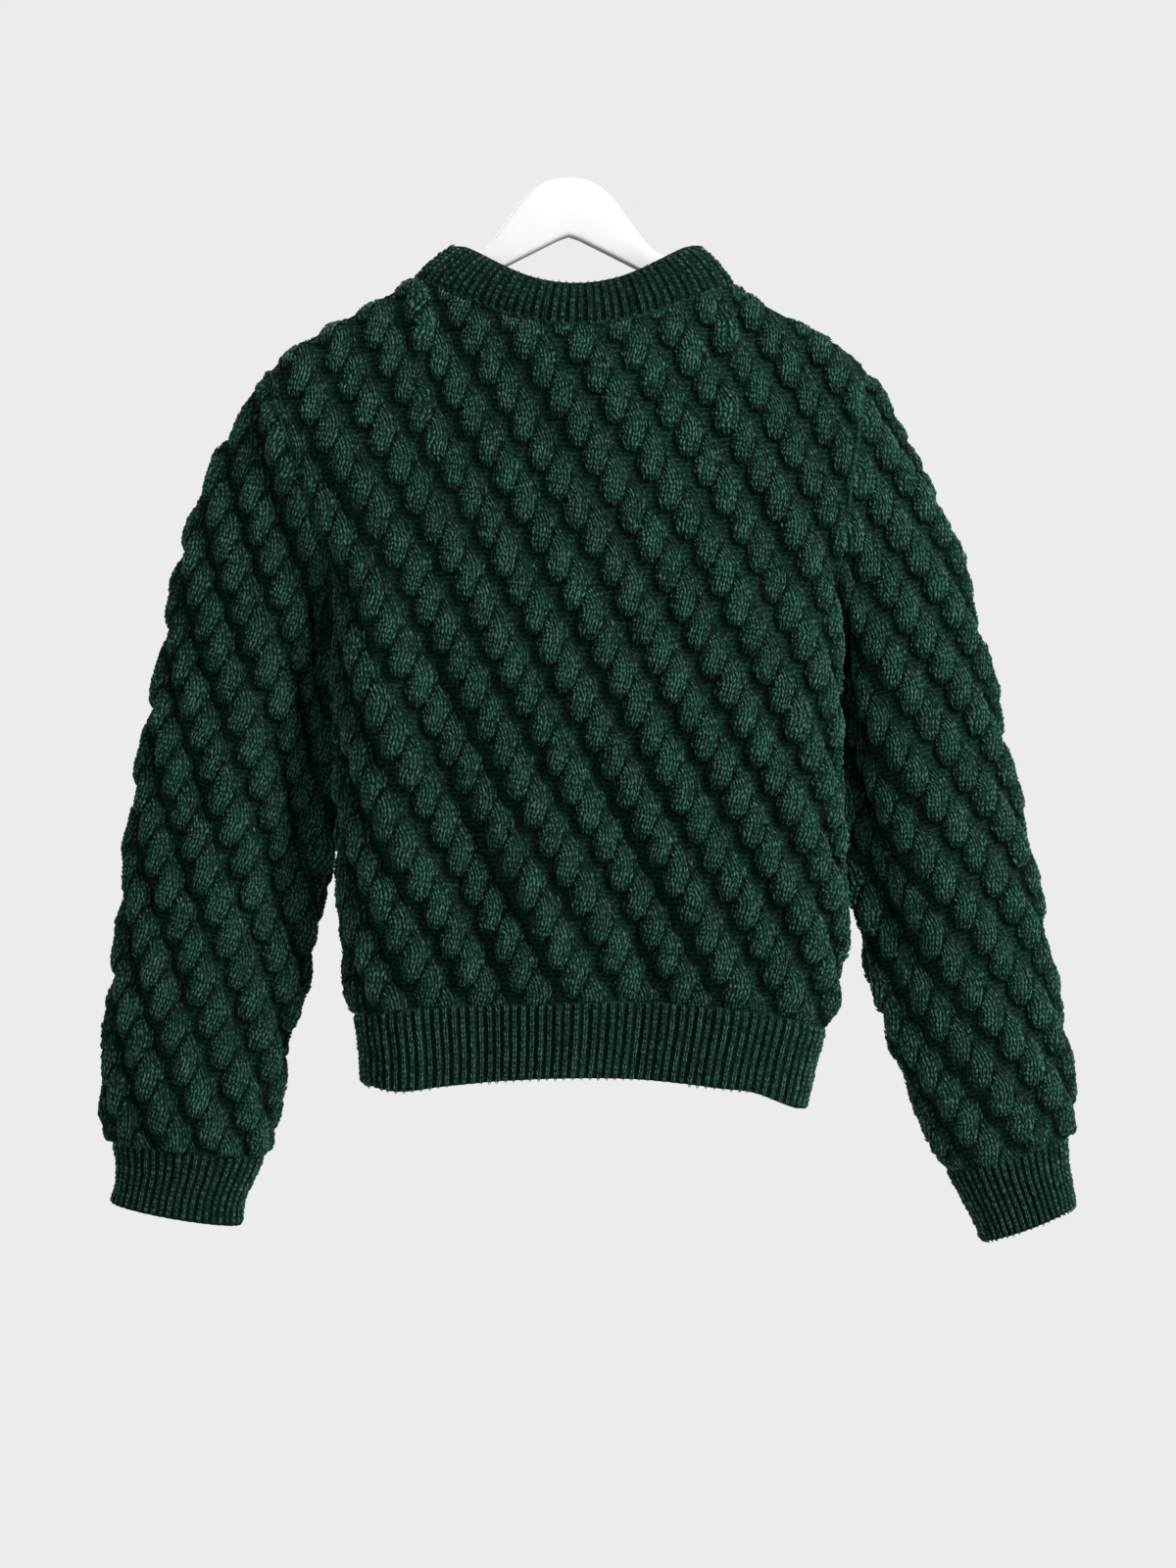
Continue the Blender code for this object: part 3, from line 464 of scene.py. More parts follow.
    def side_edges(self, z: Array, inset: float) -> tuple[Array, Array]:
        """Left and right limits of the body at a height."""
        rows = np.array(self.rows)
        left_x, left_z = self.underarm(Hand.LEFT)
        right_x, right_z = self.underarm(Hand.RIGHT)
        left_low = smooth(-z, -rows[:, 0], rows[:, 1])
        right_low = smooth(-z, -rows[:, 0], rows[:, 2])
        left_part = np.clip((self.tip_left[1] - z) / (self.tip_left[1] - left_z), 0.0, 1.0)
        right_part = np.clip((self.tip_right[1] - z) / (self.tip_right[1] - right_z), 0.0, 1.0)
        left_high = self.tip_left[0] + (left_x - self.tip_left[0]) * left_part
        right_high = self.tip_right[0] + (right_x - self.tip_right[0]) * right_part
        left = np.where(z > left_z, left_high, left_low) + inset * ease((left_z - z) / self.inset_run)
        right = np.where(z > right_z, right_high, right_low) - inset * ease((right_z - z) / self.inset_run)
        return left, right

    def fold_lift(self, across: Array, z: Array, side: Side) -> Array:
        """Soft upright folds of a panel, as a change of its depth."""
        change = np.zeros_like(z)
        for fold_side, place, width, start, end, rise in self.folds:
            if fold_side == side.value:
                grown = ease((start - z) / (start - end))
                change = change + rise * grown * np.exp(-((across - place) / width) ** 2)
        return change

    def full_depth(self, across: Array, z: Array, side: Side, inset: float) -> Array:
        """Depth of the body away from its shoulders, neck and side seams."""
        rows = np.array(self.rows)
        middle = smooth(-z, -rows[:, 0], rows[:, 3] if side is Side.NEAR else rows[:, 4])
        crown = np.sin(math.pi * np.clip(across, 0.0, 1.0)) ** self.middle_power
        profile = self.side_share + self.middle_share * crown
        return middle * profile + self.fold_lift(across, z, side) - inset

    def edge_weight(self, across: Array) -> Array:
        """1 on a side seam, falling to 0 past the rounding beside it."""
        part = np.clip(np.minimum(across, 1 - across) / self.side_round, 0.0, 1.0)
        return 1 - np.sqrt(np.clip(1 - (1 - part) ** 2, 0.0, 1.0))

    def hem_height(self, across: Array, side: Side, rows: tuple) -> Array:
        """Height of the hem's seam or edge."""
        table = np.array(rows)
        return smooth(across, table[:, 0], table[:, 1] if side is Side.NEAR else table[:, 2])

    def panel_point(self, u: Array, v: Array, side: Side, inset: float) -> Array:
        """Find points of a body panel.

        Args:
            u: Place across, left to right as seen from outside, 0 to 1.
            v: Place down, 0 to 1.
            side: Which panel.
            inset: Distance in from the outer face.

        Returns:
            Points, one for each place.
        """
        u, v = np.broadcast_arrays(np.asarray(u, dtype=float), np.asarray(v, dtype=float))
        across = u if side is Side.NEAR else 1 - u
        top_x = self.tip_left[0] + (self.tip_right[0] - self.tip_left[0]) * across
        top, top_depth, inside = self.panel_top(top_x, side)
        bottom = self.hem_height(across, side, self.hem_seam) + self.seam_half
        outer_top = top - self.neck_gap * ease((1 - np.abs(self.neck_place(top_x))) / self.neck_gap_run)
        outer = outer_top + (bottom - outer_top) * v
        edge = self.edge_weight(across)
        arm = self.underarm_place
        lowered = -inset * (1 - inside) * np.clip(1 - v / arm, 0.0, 1.0)
        raised = inset * edge * np.clip(1 - np.abs(v - arm) / self.underarm_run, 0.0, 1.0)
        z = outer + lowered + raised
        drop = outer_top - z
        inner_drop = np.clip(drop - inset * (1 - inside), 0.0, None)
        left, right = self.side_edges(z, inset)
        x = left + (right - left) * across
        start = np.clip(top_depth - inset, 0.0, None) + self.seam_depth
        round_size = self.shoulder_round - inset
        part = np.clip(inner_drop / self.shoulder_round, 0.0, 1.0)
        rounding = round_size * np.sqrt(1 - (1 - part) ** 2) * (1 - inside)
        grown = 1 - (1 - np.clip(inner_drop / self.chest_drop, 0.0, 1.0)) ** 2
        gap = self.full_depth(across, z, side, inset) - start - round_size * (1 - inside)
        middle = start + rounding + gap * grown
        depth = self.armhole_depth(drop, across, inset) * edge + middle * (1 - edge)
        return np.stack([x, -side.value * depth, z], axis=-1)

    def hem_point(self, u: Array, v: Array, side: Side, inset: float) -> Array:
        """Find points of a hem half; the places run as on the panel above it."""
        u, v = np.broadcast_arrays(np.asarray(u, dtype=float), np.asarray(v, dtype=float))
        across = u if side is Side.NEAR else 1 - u
        top = self.hem_height(across, side, self.hem_seam) - self.seam_half
        bottom = self.hem_height(across, side, self.hem_edge)
        z = top + (bottom - top) * v
        left, right = self.side_edges(z, 0.0)
        x = (left + inset) + (right - left - 2 * inset) * across
        edge = self.edge_weight(across)
        depth = self.seam_depth * edge + self.full_depth(across, z, side, inset) * (1 - edge)
        return np.stack([x, -side.value * depth, z], axis=-1)


@dataclass(frozen=True)
class TubeForm:
    """Hanging form of a sleeve or cuff, as rings from its upper end to its lower one."""

    rings: tuple[tuple[float, float, float, float, float, float], ...]
    gaps: Pair
    wall: float = 3.6

    def ring(self, t: float) -> list[float]:
        """Outer end, inner end, middle depth and half depth of the ring at a place."""
        table = np.array(self.rings)
        places = np.linspace(0.0, 1.0, len(table))
        return [float(smooth(t, places, table[:, column])) for column in range(table.shape[1])]

    def point(self, angle: Array, t: float, inset: float) -> Array:
        """Find points round one ring.

        Args:
            angle: Angles, 0 at the outer end and half a turn at the inner one, near side between.
            t: Place along the tube, 0 to 1.
            inset: Distance in from the outer face.

        Returns:
            Points, one for each angle.
        """
        outer_x, outer_z, inner_x, inner_z, middle_y, depth = self.ring(t)
        half_x = (outer_x - inner_x) / 2
        half_z = (outer_z - inner_z) / 2
        half = math.hypot(half_x, half_z)
        scale = (half - inset) / half
        flip = -1.0 if half_x > 0 else 1.0
        gap = self.gaps[0] if t <= 0 else (-self.gaps[1] if t >= 1 else 0.0)
        shift = gap * flip / half
        x = (outer_x + inner_x) / 2 + half_x * scale * np.cos(angle) - half_z * shift
        z = (outer_z + inner_z) / 2 + half_z * scale * np.cos(angle) + half_x * shift
        y = middle_y - (depth - inset) * np.sin(angle)
        return np.stack([x, y, z], axis=-1)

    def length(self) -> float:
        """Length of the tube along its middle."""
        table = np.array([self.ring(t) for t in np.linspace(0.0, 1.0, LENGTH_STEPS)])
        middle = np.stack([(table[:, 0] + table[:, 2]) / 2, (table[:, 1] + table[:, 3]) / 2], axis=1)
        return float(arc_of(middle)[-1])


@dataclass(frozen=True)
class WoolFinish:
    """Heathered matt wool with stitches drawn as bump and as painted shade: darker colour in the gaps
    between stitches, at strand edges and low in the relief.

    The noises are given as scale, detail and roughness.
    """

    name: str = "green_wool"
    # deep and lit are the ends of the tone. It carries painted shade (deep in gaps and low places, lit on
    # crests) as well as random heather. The wool under the stitches is kept darker than their yarn as
    # painted shade.
    deep: Triple = (0.0012, 0.0075, 0.0056)
    lit: Triple = (0.0250, 0.0840, 0.0660)
    fleck: Triple = (0.0500, 0.0950, 0.0800)
    # Painted shade at strand edges and in grooves, where the knit share is partial.
    edge_shade: float = 0.55
    fibre: Triple = (1500.0, 3.0, 0.7)
    heather: Triple = (420.0, 2.0, 0.6)
    broad: Triple = (38.0, 2.0, 0.5)
    drift: Triple = (90.0, 2.0, 0.6)
    drift_rows: float = 0.9
    slant: float = 0.85
    chevron_share: float = 0.7
    bead_swing: float = 0.40
    bead_middle: float = 0.45
    # Painted shade by height: parts high in the relief lighter, low parts darker.
    height_shade_share: float = 0.10
    heather_share: float = 0.70
    heather_shift: float = -0.32
    broad_share: float = 0.20
    fleck_start: float = 0.64
    fleck_share: float = 0.30
    fibre_height: float = 0.35
    depth: float = 1.2
    stitch_wide: float = 4.6
    stitch_tall: float = 3.6
    ground_share: float = 0.62
    strand_share: float = 0.28
    bump: float = 1.0
    roughness: float = 0.95
    sheen: float = 0.03
    sheen_tint: Triple = (0.45, 0.66, 0.60)

    def build(self) -> Material:
        """Make the material's nodes.

        Returns:
            The finished material.
        """
        net = Net(self.name)
        strand = net.uv("Strand")
        ground = net.uv("Knit")
        knit = net.attribute("knit")
        raised = net.attribute("raised")
        column = net.math("MULTIPLY_ADD", strand[1], 1 / self.stitch_wide, 0.5)
        valley = net.math("ABSOLUTE", net.math("MULTIPLY_ADD", net.math("FRACT", column), 2.0, -1.0))
        row = net.math("MULTIPLY", strand[0], 1 / self.stitch_tall)
        row = net.math("MULTIPLY_ADD", valley, -self.slant, row)
        chevron = net.math("MULTIPLY_ADD", net.wave(row), 0.5, 0.5)
        leg = net.math("MULTIPLY_ADD", net.math("FRACT", net.math("MULTIPLY", column, 2.0)), 2.0, -1.0)
        round_leg = net.math("SUBTRACT", 1.0, net.math("MULTIPLY", leg, leg))
        chevron = net.math("MULTIPLY_ADD", chevron, self.chevron_share, 1 - self.chevron_share)
        legs = net.math("MULTIPLY", chevron, round_leg)
        drift = net.math("MULTIPLY_ADD", net.noise(self.drift), self.drift_rows, -self.drift_rows / 2)
        line = net.math("MULTIPLY_ADD", ground[1], 1 / self.stitch_tall, drift)
        parity = net.math("MULTIPLY", net.math("MODULO", net.math("FLOOR", line), 2.0), 0.5)
        beat = net.math("MULTIPLY_ADD", ground[0], 1 / self.stitch_wide, parity)
        beads = net.math("MULTIPLY_ADD", net.wave(beat), self.bead_swing, self.bead_middle)
        purl = net.math("MULTIPLY", net.math("MULTIPLY_ADD", net.wave(line), 0.5, 0.5), beads)
        # Painted shade: the stitch height sets the colour, so the gaps between legs and purl bumps come out
        # darker.
        stitch = net.mix(knit, purl, legs)
        fibre = net.noise(self.fibre)
        share = net.mix(knit, self.ground_share, self.strand_share)
        # Painted shade: colour darkened where the knit share is partial, along strand edges and in the
        # grooves between lobes.
        edge_shade_mask = net.math("MULTIPLY", knit, net.math("SUBTRACT", 1.0, knit))
        share = net.math("SUBTRACT", share, net.math("MULTIPLY", edge_shade_mask, 4.0 * self.edge_shade))
        shown = net.math("MULTIPLY", stitch, net.math("MAXIMUM", share, 0.0))
        # Painted shade by height: low places in the relief darker.
        tone = net.math("MULTIPLY_ADD", net.math("MULTIPLY", raised, raised), self.height_shade_share, shown)
        tone = net.varied(tone, net.noise(self.heather), self.heather_share, self.heather_shift)
        tone = net.varied(tone, net.noise(self.broad), self.broad_share, -self.broad_share / 2)
        colour = net.colours(net.held(tone), self.deep, self.lit)
        flecks = net.math("GREATER_THAN", fibre, self.fleck_start)
        # The flecks are real, but scaling them by height dims them in low places as painted shade.
        flecks = net.math("MULTIPLY", flecks, net.math("MULTIPLY", raised, self.fleck_share))
        colour = net.colours(flecks, colour, self.fleck)
        height = net.math("MULTIPLY_ADD", fibre, self.fibre_height, stitch)
        normal = net.bump(height, self.bump, self.depth * MM)
        net.shader(colour, normal, self.roughness, self.sheen, self.sheen_tint)
        return net.material


@dataclass(frozen=True)
class YarnFinish:
    """Loosely spun heathered yarn of the raised stitches and the seams; where follow is set, painted shade
    darkens stitches low in the relief and lightens high ones.
    """

    name: str = "green_yarn"
    dark: Triple = (0.0030, 0.0190, 0.0140)
    pale: Triple = (0.0540, 0.1720, 0.1340)
    fleck: Triple = (0.1700, 0.2900, 0.2500)
    # follow and middle paint shade by height: stitches low in the relief darker, high ones lighter.
    follow: float = 0.95
    middle: float = 0.72
    fibre: Triple = (2300.0, 3.0, 0.75)
    heather: Triple = (330.0, 3.0, 0.7)
    broad: Triple = (40.0, 2.0, 0.5)
    heather_share: float = 4.2
    heather_shift: float = -1.72
    broad_share: float = 0.5
    fibre_share: float = 0.6
    fleck_start: float = 0.66
    fleck_share: float = 0.35
    depth: float = 0.5
    bump: float = 0.8
    roughness: float = 0.95
    sheen: float = 0.05
    sheen_tint: Triple = (0.50, 0.70, 0.64)

    def build(self) -> Material:
        """Make the material's nodes."""
        net = Net(self.name)
        fibre = net.noise(self.fibre)
        tone = net.math("MULTIPLY_ADD", net.noise(self.heather), self.heather_share, self.heather_shift)
        tone = net.varied(tone, net.noise(self.broad), self.broad_share, -self.broad_share / 2)
        tone = net.varied(tone, fibre, self.fibre_share, -self.fibre_share / 2)
        # Painted shade by height.
        tone = net.varied(tone, net.attribute("raised"), self.follow, -self.middle * self.follow)
        colour = net.colours(net.held(tone), self.dark, self.pale)
        flecks = net.math("MULTIPLY", net.math("GREATER_THAN", fibre, self.fleck_start), self.fleck_share)
        colour = net.colours(flecks, colour, self.fleck)
        normal = net.bump(fibre, self.bump, self.depth * MM)
        net.shader(colour, normal, self.roughness, self.sheen, self.sheen_tint)
        return net.material


@dataclass(frozen=True)
class HangerFinish:
    """Smooth white lacquer with a faint unevenness."""

    name: str = "white_lacquer"
    pale: Triple = (0.82, 0.84, 0.83)
    shade: Triple = (0.77, 0.79, 0.78)
    roughness: float = 0.42
    specular: float = 0.4
    cloud: Triple = (22.0, 3.0, 0.5)
    grain: Triple = (260.0, 2.0, 0.5)
    bump: float = 0.08
    depth: float = 0.2

    def build(self) -> Material:
        """Make the material's nodes."""
        net = Net(self.name)
        colour = net.colours(net.noise(self.cloud), self.shade, self.pale)
        normal = net.bump(net.noise(self.grain), self.bump, self.depth * MM)
        net.shader(colour, normal, self.roughness, 0.0, self.pale, self.specular)
        return net.material


@dataclass(frozen=True)
class FloorFinish:
    """Plain pale matt floor."""

    name: str = "pale_floor"
    colour: Triple = (0.62, 0.62, 0.62)
    dim: float = 0.97
    roughness: float = 0.9
    cloud: Triple = (3.0, 2.0, 0.5)

    def build(self) -> Material:
        """Make the material's nodes."""
        net = Net(self.name)
        low = tuple(self.dim * part for part in self.colour)
        shown = net.colours(net.noise(self.cloud), low, self.colour)
        net.shader(shown, None, self.roughness, 0.0, self.colour)
        return net.material


class Net:
    """Builder of one material's node tree."""

    def __init__(self, name: str) -> None:
        """Start an empty material.

        Args:
            name: Name of the material.
        """
        self.material = bpy.data.materials.new(name)
        self.material.use_nodes = True
        self.tree = self.material.node_tree
        self.tree.nodes.clear()

    def add(self, kind: str) -> Node:
        """Add a node of a kind."""
        return self.tree.nodes.new(kind)

    def plug(self, value: object, socket: Socket) -> None:
        """Link a socket to an input, or set the input to a number or a colour."""
        if isinstance(value, Socket):
            self.tree.links.new(value, socket)
        else:
            socket.default_value = (*value, 1.0) if isinstance(value, tuple) else value

    def math(self, operation: str, *values: object) -> Socket:
        """Add a math node with up to three inputs."""
        node = self.add("ShaderNodeMath")
        node.operation = operation
        for value, socket in zip(values, node.inputs):
            self.plug(value, socket)
        return node.outputs[0]

    def varied(self, tone: object, noise: object, share: float, shift: float) -> Socket:
        """Tone with a share of a noise added to it."""
        return self.math("ADD", tone, self.math("MULTIPLY_ADD", noise, share, shift))

    def held(self, tone: Socket) -> Socket:
        """Tone held between 0 and 1."""
        return self.math("MINIMUM", self.math("MAXIMUM", tone, 0.0), 1.0)

    def wave(self, turns: Socket) -> Socket:
        """Cosine of a number of turns."""
        return self.math("COSINE", self.math("MULTIPLY", turns, TURN))

    def uv(self, name: str) -> tuple[Socket, Socket]:
        """Both numbers of a UV map."""
        node = self.add("ShaderNodeUVMap")
        node.uv_map = name
        split = self.add("ShaderNodeSeparateXYZ")
        self.tree.links.new(node.outputs[0], split.inputs[0])
        return split.outputs[0], split.outputs[1]

    def attribute(self, name: str) -> Socket:
        """Number stored on the mesh under a name."""
        node = self.add("ShaderNodeAttribute")
        node.attribute_name = name
        return node.outputs["Fac"]

    def noise(self, grain: Triple) -> Socket:
        """Noise in object coordinates, of a scale, detail and roughness."""
        place = self.add("ShaderNodeTexCoord")
        node = self.add("ShaderNodeTexNoise")
        for name, value in zip(("Scale", "Detail", "Roughness"), grain):
            node.inputs[name].default_value = value
        self.tree.links.new(place.outputs["Object"], node.inputs["Vector"])
        return node.outputs[0]

    def mix(self, factor: object, first: object, second: object) -> Socket:
        """Blend of two numbers."""
        node = self.add("ShaderNodeMix")
        node.data_type = "FLOAT"
        for value, socket in zip((factor, first, second), (node.inputs[0], node.inputs[2], node.inputs[3])):
            self.plug(value, socket)
        return node.outputs[0]

    def colours(self, factor: object, first: object, second: object) -> Socket:
        """Blend from one colour to another, each fixed or worked out."""
        node = self.add("ShaderNodeMix")
        node.data_type = "RGBA"
        for value, socket in zip((factor, first, second), (node.inputs[0], node.inputs[6], node.inputs[7])):
            self.plug(value, socket)
        return node.outputs[2]

    def bump(self, height: object, strength: float, distance: float) -> Socket:
        """Normal disturbed by a height."""
        node = self.add("ShaderNodeBump")
        node.inputs["Strength"].default_value = strength
        node.inputs["Distance"].default_value = distance
        self.plug(height, node.inputs["Height"])
        return node.outputs[0]

    def shader(
        self, colour: object, normal: object, roughness: float, sheen: float, tint: tuple,
        specular: float = 0.06,
    ) -> None:
        """Finish the tree with its surface shader."""
        surface = self.add("ShaderNodeBsdfPrincipled")
        out = self.add("ShaderNodeOutputMaterial")
        self.plug(colour, surface.inputs["Base Color"])
        if normal is not None:
            self.plug(normal, surface.inputs["Normal"])
        surface.inputs["Roughness"].default_value = roughness
        surface.inputs["Specular IOR Level"].default_value = specular
        surface.inputs["Sheen Weight"].default_value = sheen
        surface.inputs["Sheen Roughness"].default_value = SHEEN_ROUGHNESS
        surface.inputs["Sheen Tint"].default_value = (*tint, 1.0)
        self.tree.links.new(surface.outputs[0], out.inputs["Surface"])


def normals_of(grid: Array, closed: bool) -> Array:
    """Unit normals of a grid of points.

    Args:
        grid: Points, rows by columns.
        closed: Whether the last column meets the first.

    Returns:
        Normals, row direction crossed with column direction.
    """
    if closed:
        along = np.roll(grid, -1, axis=1) - np.roll(grid, 1, axis=1)
    else:
        along = np.gradient(grid, axis=1)
    down = np.gradient(grid, axis=0)
    normal = np.cross(down, along)
    return normal / np.maximum(np.linalg.norm(normal, axis=-1, keepdims=True), LEAST_LENGTH)


def quads_of(ids: Array) -> list[tuple[int, ...]]:
    """Quads of a grid of vertex numbers."""
    corners = [ids[:-1, :-1], ids[1:, :-1], ids[1:, 1:], ids[:-1, 1:]]
    return [tuple(quad) for quad in np.stack(corners, axis=-1).reshape(-1, 4).tolist()]


def zip_loops(first: list[tuple[float, int]], second: list[tuple[float, int]]) -> list[tuple]:
    """Join two closed loops by triangles.

    Args:
        first: Places round the loop, 0 to 4, and their vertices.
        second: The same of the other loop.

    Returns:
        Triangles between the loops.
    """
    first = first + [(first[0][0] + 4.0, first[0][1])]
    second = second + [(second[0][0] + 4.0, second[0][1])]
    faces = []
    i = 0
    j = 0
    while i < len(first) - 1 or j < len(second) - 1:
        go_first = j == len(second) - 1
        if i < len(first) - 1 and j < len(second) - 1:
            go_first = abs(first[i + 1][0] - second[j][0]) <= abs(second[j + 1][0] - first[i][0])
        if go_first:
            faces.append((first[i][1], first[i + 1][1], second[j][1]))
            i += 1
        else:
            faces.append((first[i][1], second[j + 1][1], second[j][1]))
            j += 1
    return faces


@dataclass
class Skin:
    """One face of a cloth wall: a grid of points with its place on the knitting."""

    points: Array
    across: Array
    down: Array
    relief: Relief
    top: float
    closed: bool = False

    def edge_loop(self, start: int) -> list[tuple[float, int]]:
        """Loop round an open grid, as places 0 to 4 and vertex numbers."""
        rows, columns = self.across.shape
        ids = start + np.arange(rows * columns).reshape(rows, columns)
        x = np.linspace(0, 1, columns)
        y = np.linspace(0, 1, rows)
        loop = [(x[k], ids[0, k]) for k in range(columns - 1)]
        loop += [(1 + y[k], ids[k, -1]) for k in range(rows - 1)]
        loop += [(3 - x[k], ids[-1, k]) for k in range(columns - 1, 0, -1)]
        loop += [(4 - y[k], ids[k, 0]) for k in range(rows - 1, 0, -1)]
        return [(float(place), int(vertex)) for place, vertex in loop]

    def ring_loop(self, start: int, row: int) -> list[tuple[float, int]]:
        """Loop round one row of a closed grid."""
        rows, columns = self.across.shape
        row = row % rows
        return [(4.0 * k / columns, start + row * columns + k) for k in range(columns)]


@dataclass
class Wall:
    """Closed wall of cloth made of an outer skin, an inner skin and rims."""

    name: str
    outer: Skin
    inner: Skin
    material: Material

    def quads(self, skin: Skin, start: int) -> list[tuple[int, ...]]:
        """Quads of a skin as vertex numbers."""
        rows, columns = skin.across.shape
        ids = start + np.arange(rows * columns).reshape(rows, columns)
        if skin.closed:
            ids = np.concatenate([ids, ids[:, :1]], axis=1)
        return quads_of(ids)

    def build(self) -> Object:
        """Make the wall's object.

        Returns:
            The object, with UV maps for the knitting and numbers for its relief.
        """
        skins = (self.outer, self.inner)
        points = np.concatenate([skin.points.reshape(-1, 3) for skin in skins])
        count = self.outer.across.size
        faces = self.quads(self.outer, 0)
        faces += [quad[::-1] for quad in self.quads(self.inner, count)]
        grid_faces = len(faces)
        if self.outer.closed:
            faces += zip_loops(self.outer.ring_loop(0, 0), self.inner.ring_loop(count, 0))
            faces += zip_loops(self.outer.ring_loop(0, -1), self.inner.ring_loop(count, -1))
        else:
            faces += zip_loops(self.outer.edge_loop(0), self.inner.edge_loop(count))
        mesh = bpy.data.meshes.new(self.name)
        mesh.from_pydata((points * MM).tolist(), [], faces)
        self.dress(mesh, grid_faces)
        face_outward(mesh)
        mesh.polygons.foreach_set("use_smooth", [True] * len(mesh.polygons))
        mesh.materials.append(self.material)
        return new_object(self.name, mesh)

    def dress(self, mesh: Mesh, grid_faces: int) -> None:
        """Store the knitting's places on the mesh.

        Args:
            mesh: The wall's mesh, its faces in the order they were made.
            grid_faces: How many of its faces are quads of the skins.
        """
        flat = {}
        for key in ("across", "down"):
            flat[key] = np.concatenate([getattr(skin, key).reshape(-1) for skin in (self.outer, self.inner)])
        for key in ("rise", "along", "beside", "knit"):
            flat[key] = np.concatenate(
                [getattr(skin.relief, key).reshape(-1) for skin in (self.outer, self.inner)])
        corners = np.zeros(len(mesh.loops), dtype=np.int64)
        mesh.loops.foreach_get("vertex_index", corners)
        across = flat["across"][corners]
        quads = across[: 4 * grid_faces].reshape(-1, 4)
        spread = quads.max(axis=1, keepdims=True) - quads.min(axis=1, keepdims=True)
        girth = self.outer.across.max() - self.outer.across.min()
        wrapped = (spread > girth / 2) & (quads < quads.max(axis=1, keepdims=True) - girth / 2)
        quads += np.where(wrapped, girth, 0.0)
        across[: 4 * grid_faces] = quads.reshape(-1)
        for name, first, second in (
            ("Knit", across, flat["down"][corners]),
            ("Strand", flat["along"][corners], flat["beside"][corners]),
        ):
            layer = mesh.uv_layers.new(name=name)
            layer.data.foreach_set("uv", np.stack([first, second], axis=1).reshape(-1).astype(np.float32))
        # raised is the height in the relief; the wool paints shade from it, darker low in the relief.
        for name, values in (("knit", flat["knit"]), ("raised", flat["rise"] / self.outer.top)):
            store = mesh.attributes.new(name, "FLOAT", "POINT")
            store.data.foreach_set("value", values.astype(np.float32))


def face_outward(mesh: Mesh) -> None:
    """Turn every face of a closed mesh outward."""
    work = bmesh.new()
    work.from_mesh(mesh)
    bmesh.ops.recalc_face_normals(work, faces=work.faces)
    if work.calc_volume(signed=True) < 0:
        bmesh.ops.reverse_faces(work, faces=work.faces)
    work.to_mesh(mesh)
    work.free()


def new_object(name: str, data: bpy.types.ID) -> Object:
    """Put a mesh, camera or lamp in the scene as an object."""
    thing = bpy.data.objects.new(name, data)
    bpy.context.scene.collection.objects.link(thing)
    return thing


def plain(shape: tuple[int, ...], across: Array, down: Array) -> Relief:
    """Relief of a plain inner face, which shows the purl side."""
    none = np.zeros(shape)
    return Relief(none, down, across, none, none)


def cloth(piece: Object, node: str) -> Object:
    """Let a cloth piece stand for its CAD node and ride with it."""
    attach(piece, "root")
    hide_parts(node)
    LOG.info("%s stands for %s with %d faces", piece.name, node, len(piece.data.polygons))
    return piece


class Grower:
    """Builder of one geometry-nodes tree that is run once and made a plain mesh."""

    def __init__(self, name: str) -> None:
        """Start an empty tree with a geometry coming in and one going out."""
        self.tree = bpy.data.node_groups.new(name, "GeometryNodeTree")
        self.face("Geometry", "INPUT", "NodeSocketGeometry")
        self.face("Geometry", "OUTPUT", "NodeSocketGeometry")
        self.names: dict[str, str] = {}

    def face(self, name: str, way: str, kind: str) -> str:
        """Add a named input or output and return its identifier."""
        return self.tree.interface.new_socket(name=name, in_out=way, socket_type=kind).identifier

    def setting(self, name: str, kind: str) -> None:
        """Add a named input that a piece sets."""
        self.names[name] = self.face(name, "INPUT", kind)

    def add(self, kind: str, **settings: object) -> Node:
        """Add a node and set its own properties."""
        node = self.tree.nodes.new(kind)
        for key, value in settings.items():
            setattr(node, key, value)
        return node

    def link(self, source: Node, out: str | int, target: Node, into: str | int) -> None:
        """Join an output of one node to an input of another."""
        self.tree.links.new(source.outputs[out], target.inputs[into])

    def read(self, name: str) -> Node:
        """Node that reads a vector stored on the points under a name."""
        node = self.add("GeometryNodeInputNamedAttribute", data_type="FLOAT_VECTOR")
        node.inputs["Name"].default_value = name
        return node

    def close(self, inlet: Node, last: Node, out_name: str) -> None:
        """End the tree in realized smooth instances with their finish set."""
        real = self.add("GeometryNodeRealizeInstances")
        shade = self.add("GeometryNodeSetShadeSmooth")
        finish = self.add("GeometryNodeSetMaterial")
        out = self.add("NodeGroupOutput")
        shade.inputs["Shade Smooth"].default_value = True
        self.link(last, out_name, real, "Geometry")
        self.link(real, "Geometry", shade, "Geometry")
        self.link(shade, "Geometry", finish, "Geometry")
        self.link(inlet, "Finish", finish, "Material")
        self.link(finish, "Geometry", out, "Geometry")

    def run(self, name: str, mesh: Mesh, values: dict[str, object]) -> Object:
        """Run the tree on a mesh.

        Args:
            name: Name of the piece.
            mesh: Mesh that goes in.
            values: Value of each named input.

        Returns:
            The piece as a plain mesh.
        """
        carrier = new_object(name + "_paths", mesh)
        modifier = carrier.modifiers.new("grow", "NODES")
        modifier.node_group = self.tree
        for key, value in values.items():
            modifier[self.names[key]] = value
        bpy.context.view_layer.update()
        ready = carrier.evaluated_get(bpy.context.evaluated_depsgraph_get())
        made = bpy.data.meshes.new_from_object(ready)
        made.name = name
        carrier.modifiers.remove(modifier)
        bpy.data.objects.remove(carrier)
        return new_object(name, made)


